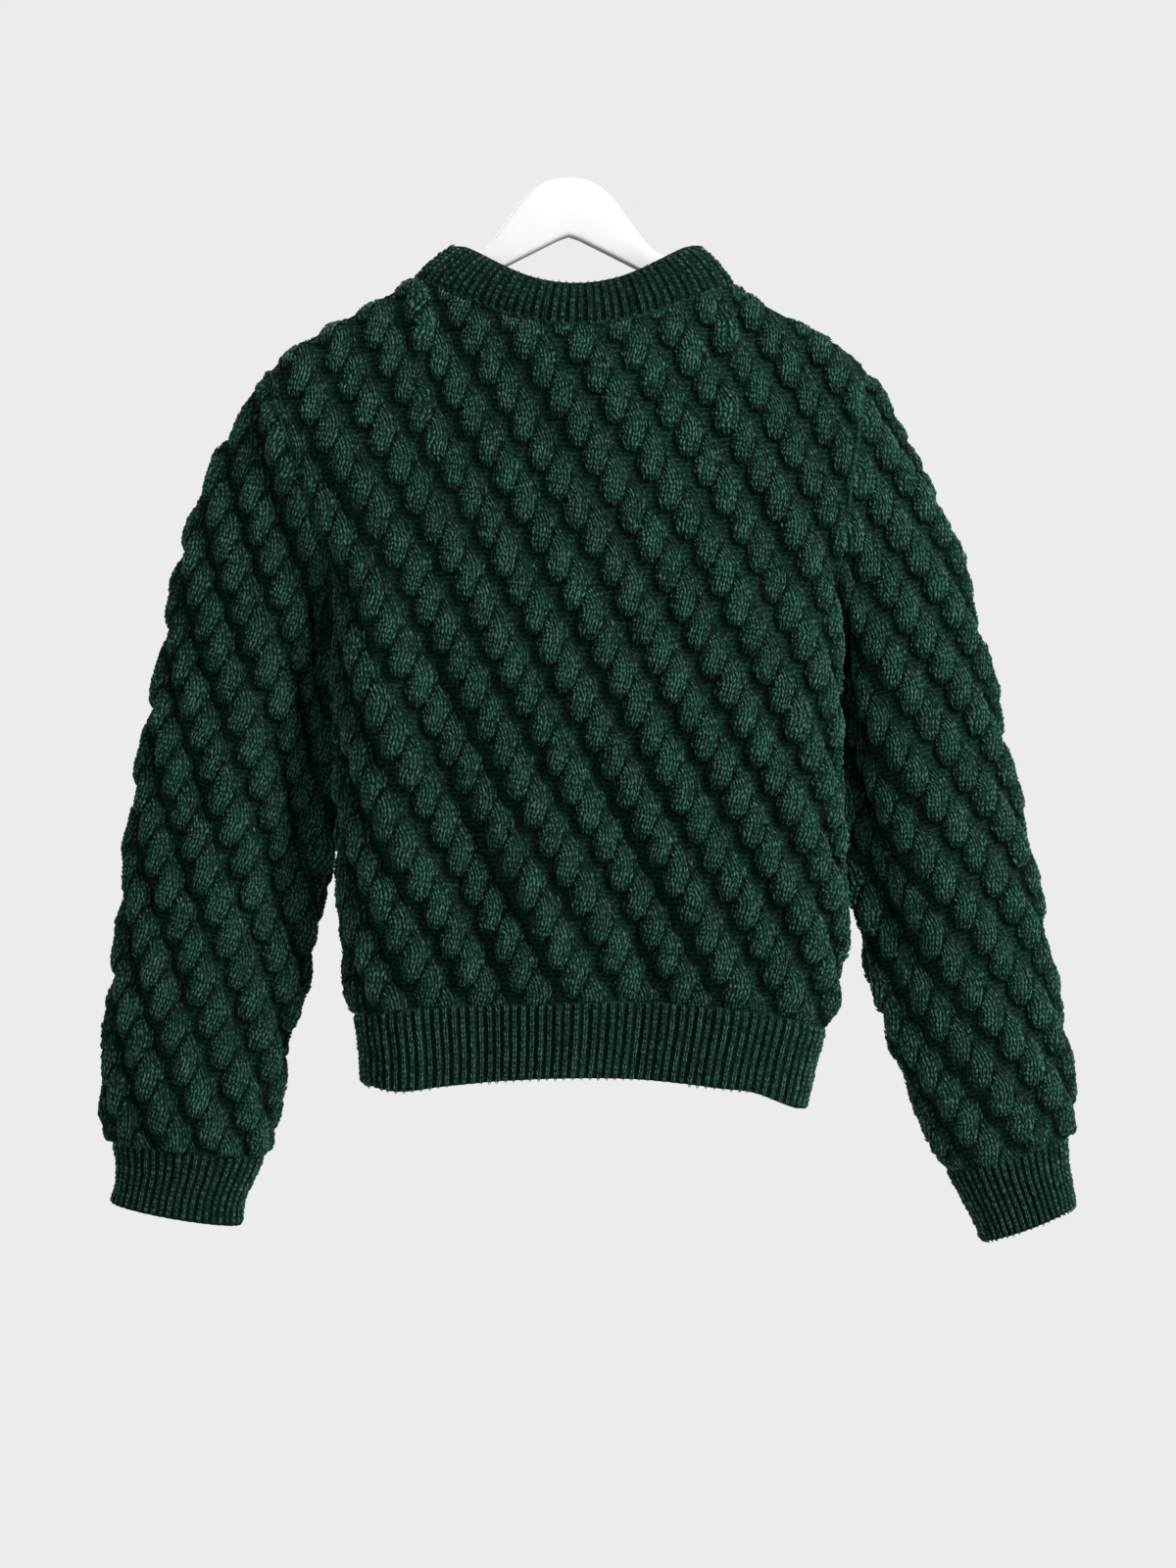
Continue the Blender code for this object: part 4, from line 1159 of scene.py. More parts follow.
def stitch_tree() -> Grower:
    """Tree that sets a stitch on every point, turned and sized by what the point stores."""
    tree = Grower("knit_stitches")
    tree.setting("Stitch", "NodeSocketObject")
    tree.setting("Uneven", "NodeSocketFloat")
    tree.setting("Seed", "NodeSocketInt")
    tree.setting("Finish", "NodeSocketMaterial")
    inlet = tree.add("NodeGroupInput")
    shape = tree.add("GeometryNodeObjectInfo")
    tree.link(inlet, "Stitch", shape, "Object")
    to_turn = tree.add("FunctionNodeEulerToRotation")
    tree.link(tree.read("turn"), "Attribute", to_turn, "Euler")
    low = tree.add("ShaderNodeMath", operation="SUBTRACT")
    low.inputs[0].default_value = 1.0
    tree.link(inlet, "Uneven", low, 1)
    high = tree.add("ShaderNodeMath", operation="ADD")
    high.inputs[0].default_value = 1.0
    tree.link(inlet, "Uneven", high, 1)
    chance = tree.add("FunctionNodeRandomValue", data_type="FLOAT")
    tree.link(low, 0, chance, 2)
    tree.link(high, 0, chance, 3)
    tree.link(inlet, "Seed", chance, "Seed")
    grow = tree.add("ShaderNodeVectorMath", operation="SCALE")
    tree.link(tree.read("size"), "Attribute", grow, 0)
    tree.link(chance, 1, grow, "Scale")
    place = tree.add("GeometryNodeInstanceOnPoints")
    tree.link(inlet, "Geometry", place, "Points")
    tree.link(shape, "Geometry", place, "Instance")
    tree.link(to_turn, "Rotation", place, "Rotation")
    tree.link(grow, 0, place, "Scale")
    tree.close(inlet, place, "Instances")
    return tree


def seam_tree() -> Grower:
    """Tree that lays a rolled seam along every path of the mesh."""
    tree = Grower("rolled_seams")
    tree.setting("Radius", "NodeSocketFloat")
    tree.setting("Spacing", "NodeSocketFloat")
    tree.setting("Finish", "NodeSocketMaterial")
    inlet = tree.add("NodeGroupInput")
    path = tree.add("GeometryNodeMeshToCurve")
    tree.link(inlet, "Geometry", path, "Mesh")
    even = tree.add("GeometryNodeResampleCurve", mode="LENGTH")
    tree.link(path, "Curve", even, "Curve")
    tree.link(inlet, "Spacing", even, "Length")
    round_shape = tree.add("GeometryNodeCurvePrimitiveCircle")
    round_shape.inputs["Resolution"].default_value = SEAM_SIDES
    tree.link(inlet, "Radius", round_shape, "Radius")
    sweep = tree.add("GeometryNodeCurveToMesh")
    tree.link(even, "Curve", sweep, "Curve")
    tree.link(round_shape, "Curve", sweep, "Profile Curve")
    sweep.inputs["Fill Caps"].default_value = True
    tree.close(inlet, sweep, "Mesh")
    return tree


@dataclass(frozen=True)
class StitchShape:
    """One knitted V: two plump legs of yarn that lean together."""

    half_tall: float = 0.76
    thick: float = 0.175
    deep: float = 0.36
    spread: float = 0.235
    lean: float = 0.135

    def build(self, name: str) -> Object:
        """Make the stitch in units of its own width and height.

        Args:
            name: Name of the shape.

        Returns:
            An object that is only used as a pattern.
        """
        points = []
        faces = []
        for way in (-1, 1):
            start = len(points)
            top = np.array([way * (self.spread + self.lean), -self.half_tall, 0.0])
            low = np.array([way * (self.spread - self.lean), self.half_tall, 0.0])
            middle = (top + low) / 2
            points.append(tuple(top))
            for x, z in ((1, 0), (0, 1), (-1, 0), (0, -1)):
                points.append((middle[0] + x * self.thick, middle[1], z * self.deep))
            points.append(tuple(low))
            for k in range(4):
                after = start + 1 + (k + 1) % 4
                faces.append((start, after, start + 1 + k))
                faces.append((start + 5, start + 1 + k, after))
        mesh = bpy.data.meshes.new(name)
        mesh.from_pydata(points, [], faces)
        face_outward(mesh)
        return new_object(name, mesh)


@dataclass(frozen=True)
class StitchField:
    """Stitches that cover the raised strands of a knitted face."""

    wide: float = 4.6
    tall: float = 3.6
    plump: float = 2.7
    proud: float = 0.25
    slim: float = 1.0
    least_share: float = 0.42
    least_knit: float = 0.75
    tilt: float = 0.13
    shift: float = 0.22
    seed: int = 7
    least_spread: float = 0.25
    least_size: float = 0.6
    wide_limits: Pair = (0.6, 1.9)
    tall_limits: Pair = (0.7, 1.5)
    uneven: float = 0.24
    uneven_seed: int = 11

    def points(self, skin: Skin) -> Mesh:
        """Find the middle, turn and size of each stitch.

        Args:
            skin: Face to cover, finer than the stitches.

        Returns:
            A mesh with one point for each stitch.
        """
        relief = skin.relief
        normal = normals_of(skin.points, skin.closed)
        middle = skin.points.mean(axis=1, keepdims=True)
        if skin.closed:
            normal *= np.sign(np.sum(normal * (skin.points - middle), axis=-1).mean())
        else:
            normal *= np.sign(normal[..., 1].mean() * skin.points[..., 1].mean())
        on = relief.knit > self.least_knit
        row = np.floor(relief.along / self.tall)
        column = np.floor(relief.beside / self.wide + 0.5)
        line = relief.strand * ROWS_PER_STRAND + row + ROWS_ABOVE
        key = (line * COLUMNS_PER_ROW + column + COLUMNS_LEFT)[on].astype(np.int64)
        spots = skin.points[on]
        leans = normal[on]
        along = relief.along[on]
        beside = relief.beside[on]
        found, index, count = np.unique(key, return_inverse=True, return_counts=True)
        total = len(found)

        def summed(values: Array) -> Array:
            """Mean of some values over each stitch."""
            return np.bincount(index, values, total) / count

        centre = np.stack([summed(spots[:, k]) for k in range(3)], axis=1)
        lean = np.stack([summed(leans[:, k]) for k in range(3)], axis=1)
        lean /= np.linalg.norm(lean, axis=1, keepdims=True)
        s = along - summed(along)[index]
        t = beside - summed(beside)[index]
        away = spots - centre[index]
        ss, tt, st = summed(s * s), summed(t * t), summed(s * t)
        ps = np.stack([summed(away[:, k] * s) for k in range(3)], axis=1)
        pt = np.stack([summed(away[:, k] * t) for k in range(3)], axis=1)
        spread = np.maximum(ss * tt - st * st, LEAST_SPREAD)
        run = (ps * tt[:, None] - pt * st[:, None]) / spread[:, None]
        across = (pt * ss[:, None] - ps * st[:, None]) / spread[:, None]
        usual = np.median(count)
        good = (count > self.least_share * usual) & (np.minimum(ss, tt) > self.least_spread)
        y_axis = run - lean * np.sum(run * lean, axis=1, keepdims=True)
        y_length = np.maximum(np.linalg.norm(y_axis, axis=1, keepdims=True), LEAST_SPREAD)
        y_axis /= y_length
        x_axis = np.cross(y_axis, lean)
        x_length = np.abs(np.sum(across * x_axis, axis=1))
        share = np.clip(count / usual, self.least_size, 1.0)
        size = np.stack([
            self.wide * self.slim * np.clip(x_length, *self.wide_limits) * np.sqrt(share),
            self.tall * np.clip(y_length[:, 0], *self.tall_limits) * np.sqrt(share),
            self.plump * np.ones(total),
        ], axis=1)
        turn = np.stack([
            np.arctan2(y_axis[:, 2], lean[:, 2]),
            -np.arcsin(np.clip(x_axis[:, 2], -1.0, 1.0)),
            np.arctan2(x_axis[:, 1], x_axis[:, 0]),
        ], axis=1)
        chance = np.random.default_rng(self.seed)
        turn += chance.normal(0.0, self.tilt, turn.shape)
        proud = self.proud + chance.normal(0.0, self.shift, (total, 1))
        mesh = bpy.data.meshes.new("stitch_points")
        mesh.from_pydata(((centre + proud * lean)[good] * MM).tolist(), [], [])
        for name, values in (("turn", turn[good]), ("size", size[good] * MM)):
            store = mesh.attributes.new(name, "FLOAT_VECTOR", "POINT")
            store.data.foreach_set("vector", values.reshape(-1).astype(np.float32))
        # Height of each stitch in the relief, which the yarn uses to paint shade on low stitches.
        raised = mesh.attributes.new("raised", "FLOAT", "POINT")
        raised.data.foreach_set("value", (summed(relief.rise[on]) / skin.top)[good].astype(np.float32))
        return mesh


def path_mesh(paths: list[tuple[Array, bool]]) -> Mesh:
    """Mesh of paths, each a line of points in millimetres and whether it closes."""
    points = []
    edges = []
    for path, closed in paths:
        start = len(points)
        points += (path * MM).tolist()
        edges += [(start + k, start + k + 1) for k in range(len(path) - 1)]
        if closed:
            edges.append((start + len(path) - 1, start))
    mesh = bpy.data.meshes.new("seam_paths")
    mesh.from_pydata(points, edges, [])
    return mesh


@dataclass
class BodyPanel:
    """Cabled body panel, from the shoulders and neck down to the hem's rib."""

    form: BodyForm
    side: Side
    chart: CableChart
    creases: tuple[Crease, ...]
    columns: int = 160
    rows: int = 212
    inner_columns: int = 48
    inner_rows: int = 60
    fade: float = 5.0
    edge_share: float = 0.35
    edge_run: float = 18.0
    edge_lift: float = 0.4
    billow: float = 1.3
    billow_high: float = 0.5
    low_start: float = -180.0
    low_run: float = 300.0
    high_share: float = 0.76
    low_share: float = 0.32
    guides: Triple = (0.12, 0.5, 0.88)
    flat: Pair = (0.430, 0.530)
    flat_area: float = 0.190

    def grid(self, columns: int, rows: int, inset: float) -> tuple[Array, Array]:
        """Evenly spaced points of the panel.

        Args:
            columns: Number of columns.
            rows: Number of rows.
            inset: Distance in from the outer face.

        Returns:
            The points and their distances across from the centre line.
        """
        fine = fine_places()
        downs = []
        for place in self.guides:
            arc = arc_of(self.form.panel_point(place, fine, self.side, inset))
            downs.append(np.interp(np.linspace(0, 1, rows), arc / arc[-1], fine))
        places = np.mean(downs, axis=0)
        places[0] = 0.0
        places[-1] = 1.0
        points = np.empty((rows, columns, 3))
        across = np.empty((rows, columns))
        for index, v in enumerate(places):
            line = self.form.panel_point(fine, v, self.side, inset)
            arc = arc_of(line)
            picks = np.interp(np.linspace(0, arc[-1], columns), arc, fine)
            points[index] = self.form.panel_point(picks, v, self.side, inset)
            level = arc_of(line[:, :2])
            across[index] = np.interp(picks, fine, level - np.interp(0.5, fine, level))
        return points, across

    def facing(self, base: Array) -> Array:
        """Outward normals of a grid of the panel's points."""
        normal = normals_of(base, False)
        return normal * np.sign(-self.side.value * normal[..., 1].mean())

    def surface(self, columns: int, rows: int) -> Skin:
        """Outer face of the panel with its cables and creases."""
        base, across = self.grid(columns, rows, 0.0)
        height = base[..., 2]
        relief = self.chart.relief(across, height)
        edge_across = np.minimum(across - across[:, :1], across[:, -1:] - across)
        depth = depth_down(base)
        edge_down = np.minimum(depth, depth[-1:] - depth)
        keep = ease((np.minimum(edge_across, edge_down) + self.edge_lift) / self.fade)
        keep = keep * ease_from(self.edge_share, edge_down / self.edge_run)
        lower = ease((self.low_start - height) / self.low_run)
        lay = across - self.chart.origin[0] + self.chart.slope * (height - self.chart.origin[1])
        wave = np.cos(TURN * (lay - self.chart.centre) / self.chart.pitch)
        soft = sum(crease.lift(across, height) for crease in self.creases)
        swell = self.billow * (self.billow_high + lower) * wave
        push = relief.rise * (self.high_share + self.low_share * lower) + swell + soft
        points = base + self.facing(base) * (push * keep)[..., None]
        return Skin(points, across, height, relief, self.chart.rise)

    def build(self, name: str, material: Material) -> Object:
        """Make the panel's object."""
        base, across = self.grid(self.inner_columns, self.inner_rows, self.form.wall)
        height = base[..., 2]
        soft = sum(crease.lift(across, height) for crease in self.creases)
        soft[[0, -1], :] = 0.0
        soft[:, [0, -1]] = 0.0
        points = base + self.facing(base) * soft[..., None]
        inner = Skin(points, across, height, plain(across.shape, across, height), self.chart.rise)
        return Wall(name, self.surface(self.columns, self.rows), inner, material).build()


@dataclass
class HemHalf:
    """Ribbed hem below a body panel."""

    form: BodyForm
    side: Side
    chart: RibChart
    ribs: int = 30
    columns_per_rib: int = 12
    rows: int = 26
    inner_columns: int = 60
    inner_rows: int = 6
    guide: float = 0.3
    side_lift: float = 0.5
    side_run: float = 2.5
    top_share: float = 0.55
    top_run: float = 3.0
    end_share: float = 0.80
    end_run: float = 2.0
    flat: Pair = (0.385, 0.053)

    def grid(self, columns: int, rows: int, inset: float) -> tuple[Array, Array, Array]:
        """Evenly spaced points of the hem with their distances across and down."""
        fine = fine_places()
        line = self.form.hem_point(fine, self.guide, self.side, 0.0)
        arc = arc_of(line)
        spots = np.linspace(0, arc[-1], columns)
        picks = np.interp(spots, arc, fine)
        places = np.linspace(0.0, 1.0, rows)
        grid_u, grid_v = np.meshgrid(picks, places)
        points = self.form.hem_point(grid_u, grid_v, self.side, inset)
        down = depth_down(points)
        return points, np.broadcast_to(spots, down.shape).copy(), down

    def surface(self, columns: int, rows: int) -> Skin:
        """Outer face of the hem with its ribs."""
        base, across, down = self.grid(columns, rows, 0.0)
        normal = normals_of(base, False)
        normal[..., 2] = 0.0
        normal /= np.linalg.norm(normal, axis=-1, keepdims=True)
        normal *= np.sign(-self.side.value * normal[..., 1].mean())
        width = across[0, -1]
        relief = self.chart.relief(across / width * self.ribs * self.chart.pitch, down)
        side_gap = np.minimum(across, width - across)
        keep = ease((side_gap + self.side_lift) / self.side_run)
        keep = keep * ease_from(self.top_share, down / self.top_run)
        keep = keep * ease_from(self.end_share, (down[-1:] - down) / self.end_run)
        return Skin(base + normal * (relief.rise * keep)[..., None], across, down, relief, self.chart.rise)

    def build(self, name: str, material: Material) -> Object:
        """Make the hem's object."""
        points, across, down = self.grid(self.inner_columns, self.inner_rows, self.form.wall)
        inner = Skin(points, across, down, plain(across.shape, across, down), self.chart.rise)
        outer = self.surface(self.ribs * self.columns_per_rib + 1, self.rows)
        return Wall(name, outer, inner, material).build()


@dataclass
class TubeKnit:
    """Knitted tube: a cabled sleeve or a ribbed cuff."""

    form: TubeForm
    hand: Hand
    columns: int
    rows: int
    inner_columns: int
    inner_rows: int
    top_fade: float
    end_fade: float
    near_middle: float = 0.75

    def grid(self, columns: int, rows: int, inset: float) -> tuple[Array, Array, Array]:
        """Evenly spaced points round and down the tube.

        Args:
            columns: Number of columns, the first on the seam at the tube's inner side.
            rows: Number of rings.
            inset: Distance in from the outer face.

        Returns:
            The points, their distances across from the near middle and their distances down.
        """
        way = 1.0 if self.hand is Hand.LEFT else -1.0
        fine = math.pi + way * np.linspace(0.0, TURN, FINE_STEPS)
        points = np.empty((rows, columns, 3))
        across = np.empty((rows, columns))
        down = np.empty((rows, columns))
        length = self.form.length()
        for index, t in enumerate(np.linspace(0.0, 1.0, rows)):
            arc = arc_of(self.form.point(fine, t, inset))
            spots = np.arange(columns) / columns * arc[-1]
            picks = np.interp(spots, arc, fine)
            points[index] = self.form.point(picks, t, inset)
            across[index] = spots - self.near_middle * arc[-1]
            down[index] = t * length
        return points, across, down

    def outward(self, base: Array) -> Array:
        """Outward normals of the tube's grid."""
        normal = normals_of(base, True)
        middle = base.mean(axis=1, keepdims=True)
        facing = np.sum(normal * (base - middle), axis=-1)
        return normal * np.sign(facing.mean())

    def wall(
        self, name: str, outer: Skin, inner: Array, material: Material,
    ) -> Object:
        """Make the tube's object.

        Args:
            name: Name of the piece.
            outer: Outer face.
            inner: Points of the inner face.
            material: The knitted cloth's material.

        Returns:
            The tube's object.
        """
        across, down = self.grid(self.inner_columns, self.inner_rows, self.form.wall)[1:]
        lining = Skin(inner, across, down, plain(across.shape, across, down), outer.top, True)
        return Wall(name, outer, lining, material).build()


@dataclass
class Sleeve:
    """Cabled sleeve with its creases."""

    knit: TubeKnit
    chart: CableChart
    creases: tuple[Crease, ...]
    flat: Pair = (0.400, 0.590)
    flat_area: float = 0.205
    cap: float = 75.0
    billow: float = 1.6
    start_lift: float = 0.4
    end_lift: float = 2.0
    underarm_side: float = 40.0
    underarm_side_run: float = 24.0
    underarm_down: float = 70.0
    underarm_down_run: float = 45.0
    seam_share: float = 0.25
    seam_run: float = 6.0
    crease_end: float = 30.0
    crease_seam: float = 12.0
    girth_steps: int = 33

    def fabric(self, base: Array) -> tuple[Array, Array]:
        """Places of the sleeve's points on its knitting.

        Args:
            base: Points of the sleeve, rings by columns.

        Returns:
            Distances across from the near middle and along the sleeve's own line.
        """
        rings = np.array(self.knit.form.rings)
        middles = np.stack([(rings[:, 0] + rings[:, 2]) / 2, (rings[:, 1] + rings[:, 3]) / 2], axis=1)
        line = middles[-1] - middles[0]
        line /= np.linalg.norm(line)
        right = np.array([-line[1], line[0]])
        flat = base[..., [0, 2]] - middles[0]
        along = flat @ line
        offset = flat @ right
        middle_along = (middles - middles[0]) @ line
        middle_offset = (middles - middles[0]) @ right
        outer = rings[:, :2] - middles[0]
        outer_along = outer @ line
        outer_offset = outer @ right
        centre = np.interp(np.maximum(along, self.cap), middle_along, middle_offset)
        outer_centre = np.interp(np.maximum(outer_along, self.cap), middle_along, middle_offset)
        half = smooth(along, outer_along, np.abs(outer_offset - outer_centre))
        t = np.linspace(0.0, 1.0, base.shape[0])
        places = np.linspace(0.0, 1.0, len(rings))
        middle_y = smooth(t, places, rings[:, 4])[:, None]
        depth = smooth(t, places, rings[:, 5])[:, None]
        up = np.clip((middle_y - base[..., 1]) / depth, -1.0, 1.0)
        turn = np.arctan2(up, (offset - centre) / half)
        if self.knit.hand is Hand.LEFT:
            turn = np.mod(turn, TURN)
        parts = np.linspace(0.0, 1.0, self.girth_steps)
        angle = math.pi / 2 + (turn - math.pi / 2)[..., None] * parts
        speed = np.sqrt((half[..., None] * np.sin(angle)) ** 2 + (depth[..., None] * np.cos(angle)) ** 2)
        mean = (speed[..., 1:] + speed[..., :-1]).mean(axis=-1) / 2
        return (math.pi / 2 - turn) * mean, along

    def surface(self, columns: int, rows: int) -> Skin:
        """Outer face of the sleeve with its cables and creases."""
        base, spots, down = self.knit.grid(columns, rows, 0.0)
        across, along = self.fabric(base)
        relief = self.chart.relief(across, -along)
        length = down[-1, 0]
        keep = ease((down + self.start_lift) / self.knit.top_fade)
        keep = keep * ease((length - down + self.end_lift) / self.knit.end_fade)
        seam = np.minimum(spots - spots[:, :1], spots[:, -1:] - spots)
        beside = ease((self.underarm_side - seam) / self.underarm_side_run)
        underarm = 1 - beside * ease((self.underarm_down - down) / self.underarm_down_run)
        keep = keep * underarm * ease_from(self.seam_share, seam / self.seam_run)
        soft = self.fall(across, along, seam, down)
        lay = across - self.chart.origin[0] - self.chart.slope * (along + self.chart.origin[1])
        swell = self.billow * np.cos(TURN * (lay - self.chart.centre) / self.chart.pitch)
        push = (relief.rise + swell) * keep + soft
        points = base + self.knit.outward(base) * push[..., None]
        return Skin(points, across, along, relief, self.chart.rise, True)

    def fall(self, across: Array, along: Array, seam: Array, down: Array) -> Array:
        """Change of depth by the creases, none at the sleeve's ends and seam."""
        ends = ease(down / self.crease_end) * ease((down[-1, 0] - down) / self.crease_end)
        ends = ends * ease(seam / self.crease_seam)
        return sum(crease.lift(across, along) for crease in self.creases) * ends

    def build(self, name: str, material: Material) -> Object:
        """Make the sleeve's object."""
        knit = self.knit
        base, spots, down = knit.grid(knit.inner_columns, knit.inner_rows, knit.form.wall)
        across, along = self.fabric(base)
        seam = np.minimum(spots - spots[:, :1], spots[:, -1:] - spots)
        soft = self.fall(across, along, seam, down)
        inner = base + knit.outward(base) * soft[..., None]
        return knit.wall(name, self.surface(knit.columns, knit.rows), inner, material)


@dataclass
class Cuff:
    """Ribbed cuff below a sleeve."""

    knit: TubeKnit
    chart: RibChart
    ribs: int = 22
    top_share: float = 0.55
    end_share: float = 0.75
    flat: Pair = (0.240, 0.050)

    def surface(self, columns: int, rows: int) -> Skin:
        """Outer face of the cuff with its ribs."""
        base, across, down = self.knit.grid(columns, rows, 0.0)
        girth = columns / (columns - 1) * (across[:, -1:] - across[:, :1])
        place = (across - across[:, :1]) / girth * self.ribs * self.chart.pitch
        relief = self.chart.relief(place, down)
        length = down[-1, 0]
        keep = ease_from(self.top_share, down / self.knit.top_fade)
        keep = keep * ease_from(self.end_share, (length - down) / self.knit.end_fade)
        points = base + self.knit.outward(base) * (relief.rise * keep)[..., None]
        return Skin(points, across, down, relief, self.chart.rise, True)

    def build(self, name: str, material: Material) -> Object:
        """Make the cuff's object."""
        knit = self.knit
        inner = knit.grid(knit.inner_columns, knit.inner_rows, knit.form.wall)[0]
        return knit.wall(name, self.surface(knit.columns, knit.rows), inner, material)


@dataclass
class Neckband:
    """Ribbed band that stands up round the neck."""

    form: BodyForm
    chart: RibChart
    top_left: float = -81.5
    top_right: float = 92.0
    top_height: float = -49.0
    top_depth: Pair = (42.0, 37.0)
    top_drop: Pair = (32.5, 58.0)
    bulge: float = 2.5
    # Painted shade: a larger share lowers the band's height-based colour, darkening the whole band.
    shade: float = 1.45
    ribs: int = 44
    columns: int = 528
    rows: int = 20
    inner_columns: int = 88
    inner_rows: int = 6
    corner_inset: float = 1.3
    top_share: float = 0.45
    top_run: float = 5.0
    end_share: float = 0.6
    end_run: float = 4.0
    flat: Pair = (0.500, 0.034)

    def point(self, angle: Array, v: Array, inset: float) -> Array:
        """Points of the band; angle 0 is its right corner and the near side comes first."""
        form = self.form
        left = form.neck_left + (self.top_left - form.neck_left) * v
        right = form.neck_right + (self.top_right - form.neck_right) * v
        bulge = self.bulge * np.sin(math.pi * v)
        half = (right - left) / 2 + bulge - inset * self.corner_inset
        depth = [form.neck_depth[k] + (self.top_depth[k] - form.neck_depth[k]) * v + bulge - inset
                 for k in (0, 1)]
        drop = [form.neck_drop[k] + (self.top_drop[k] - form.neck_drop[k]) * v for k in (0, 1)]
        rise = np.abs(np.sin(angle))
        near = np.sin(angle) > 0
        place = np.cos(angle)
        corner = form.neck_side_height(place) + form.neck_gap
        corner = corner + (self.top_height - corner) * v
        dip = np.where(near, drop[0] * rise ** form.neck_dip[0], drop[1] * rise ** form.neck_dip[1])
        y = np.where(near, -depth[0], depth[1]) * rise ** form.neck_pointed
        x = (left + right) / 2 + half * place
        return np.stack(np.broadcast_arrays(x, y, corner - dip), axis=-1)

    def grid(self, columns: int, rows: int, inset: float) -> tuple[Array, Array, Array]:
        """Evenly spaced points of the band with their distances round and down."""
        fine = np.linspace(0.0, TURN, ROUND_STEPS)
        arc = arc_of(self.point(fine, 0.0, 0.0))
        spots = np.arange(columns) / columns * arc[-1]
        angle = np.interp(spots, arc, fine)
        places = np.linspace(0.0, 1.0, rows)
        grid_angle, grid_v = np.meshgrid(angle, places)
        points = self.point(grid_angle, grid_v, inset)
        down = depth_down(points)
        return points, np.broadcast_to(spots, down.shape).copy(), down

    def surface(self, columns: int, rows: int) -> Skin:
        """Outer face of the band with its ribs."""
        base, across, down = self.grid(columns, rows, 0.0)
        inward = base - self.grid(columns, rows, 1.0)[0]
        inward /= np.linalg.norm(inward, axis=-1, keepdims=True)
        girth = across[0, -1] * columns / (columns - 1)
        relief = self.chart.relief(across / girth * self.ribs * self.chart.pitch, down)
        length = down[-1:]
        keep = ease_from(self.top_share, down / self.top_run)
        keep = keep * ease_from(self.end_share, (length - down) / self.end_run)
        points = base + inward * (relief.rise * keep)[..., None]
        return Skin(points, across, down, relief, self.chart.rise * self.shade, True)

    def build(self, name: str, material: Material) -> Object:
        """Make the band's object."""
        points, across, down = self.grid(self.inner_columns, self.inner_rows, self.form.wall)
        inner = Skin(points, across, down, plain(across.shape, across, down), self.chart.rise, True)
        return Wall(name, self.surface(self.columns, self.rows), inner, material).build()


@dataclass
class Hanger:
    """Flat hanger with rounded edges."""

    half_thick: float = 6.0
    end: float = 200.0
    stations: int = 161
    ring: int = 28
    end_round: float = 5.0
    end_reach: float = 5.2
    wide_power: float = 0.55
    tall_power: float = 0.14
    upper: tuple[Pair, ...] = (
        # distance from the middle, height of the upper edge
        (0.0, 0.0), (8.0, -0.6), (14.0, -2.0), (20.0, -4.6), (26.0, -9.0), (31.5, -14.5),
        (37.0, -21.5), (45.5, -33.5), (54.0, -45.0), (60.0, -51.0), (70.0, -57.6), (82.0, -65.0),
        (108.0, -80.0), (133.0, -93.5), (168.0, -112.5), (190.0, -125.0), (200.0, -131.8),
    )
    under: tuple[Pair, ...] = (
        # distance from the middle, height of the lower edge
        (0.0, -42.0), (6.0, -43.8), (30.0, -55.8), (58.0, -70.0), (108.0, -96.5),
        (168.0, -127.0), (190.0, -138.5), (200.0, -143.5),
    )

    def build(self, name: str, material: Material) -> Object:
        """Make the hanger's object."""
        upper = np.array(self.upper)
        under = np.array(self.under)
        x = self.end * np.sin(np.linspace(-math.pi / 2, math.pi / 2, self.stations))
        top = smooth(np.abs(x), upper[:, 0], upper[:, 1])
        low = np.interp(np.abs(x), under[:, 0], under[:, 1])
        past = np.clip(np.abs(x) - self.end + self.end_round, 0.0, None) / self.end_reach
        shrink = np.sqrt(np.clip(1 - past ** 2, 0.0, 1.0))
        angle = np.arange(self.ring) / self.ring * TURN
        wide = np.sign(np.cos(angle)) * np.abs(np.cos(angle)) ** self.wide_power
        tall = np.sign(np.sin(angle)) * np.abs(np.sin(angle)) ** self.tall_power
        middle = (top + low) / 2
        half = (top - low) / 2
        points = np.stack([
            np.broadcast_to(x[:, None], (self.stations, self.ring)),
            self.half_thick * shrink[:, None] * wide[None, :],
            middle[:, None] + (half * shrink)[:, None] * tall[None, :],
        ], axis=-1)
        ids = np.arange(points.shape[0] * self.ring).reshape(-1, self.ring)
        faces = quads_of(np.concatenate([ids, ids[:, :1]], axis=1))
        faces.append(tuple(range(self.ring)))
        faces.append(tuple(range(points.shape[0] * self.ring - self.ring, points.shape[0] * self.ring)))
        mesh = bpy.data.meshes.new(name)
        mesh.from_pydata((points.reshape(-1, 3) * MM).tolist(), [], faces)
        face_outward(mesh)
        mesh.polygons.foreach_set("use_smooth", [True] * len(mesh.polygons))
        mesh.materials.append(material)
        return new_object(name, mesh)


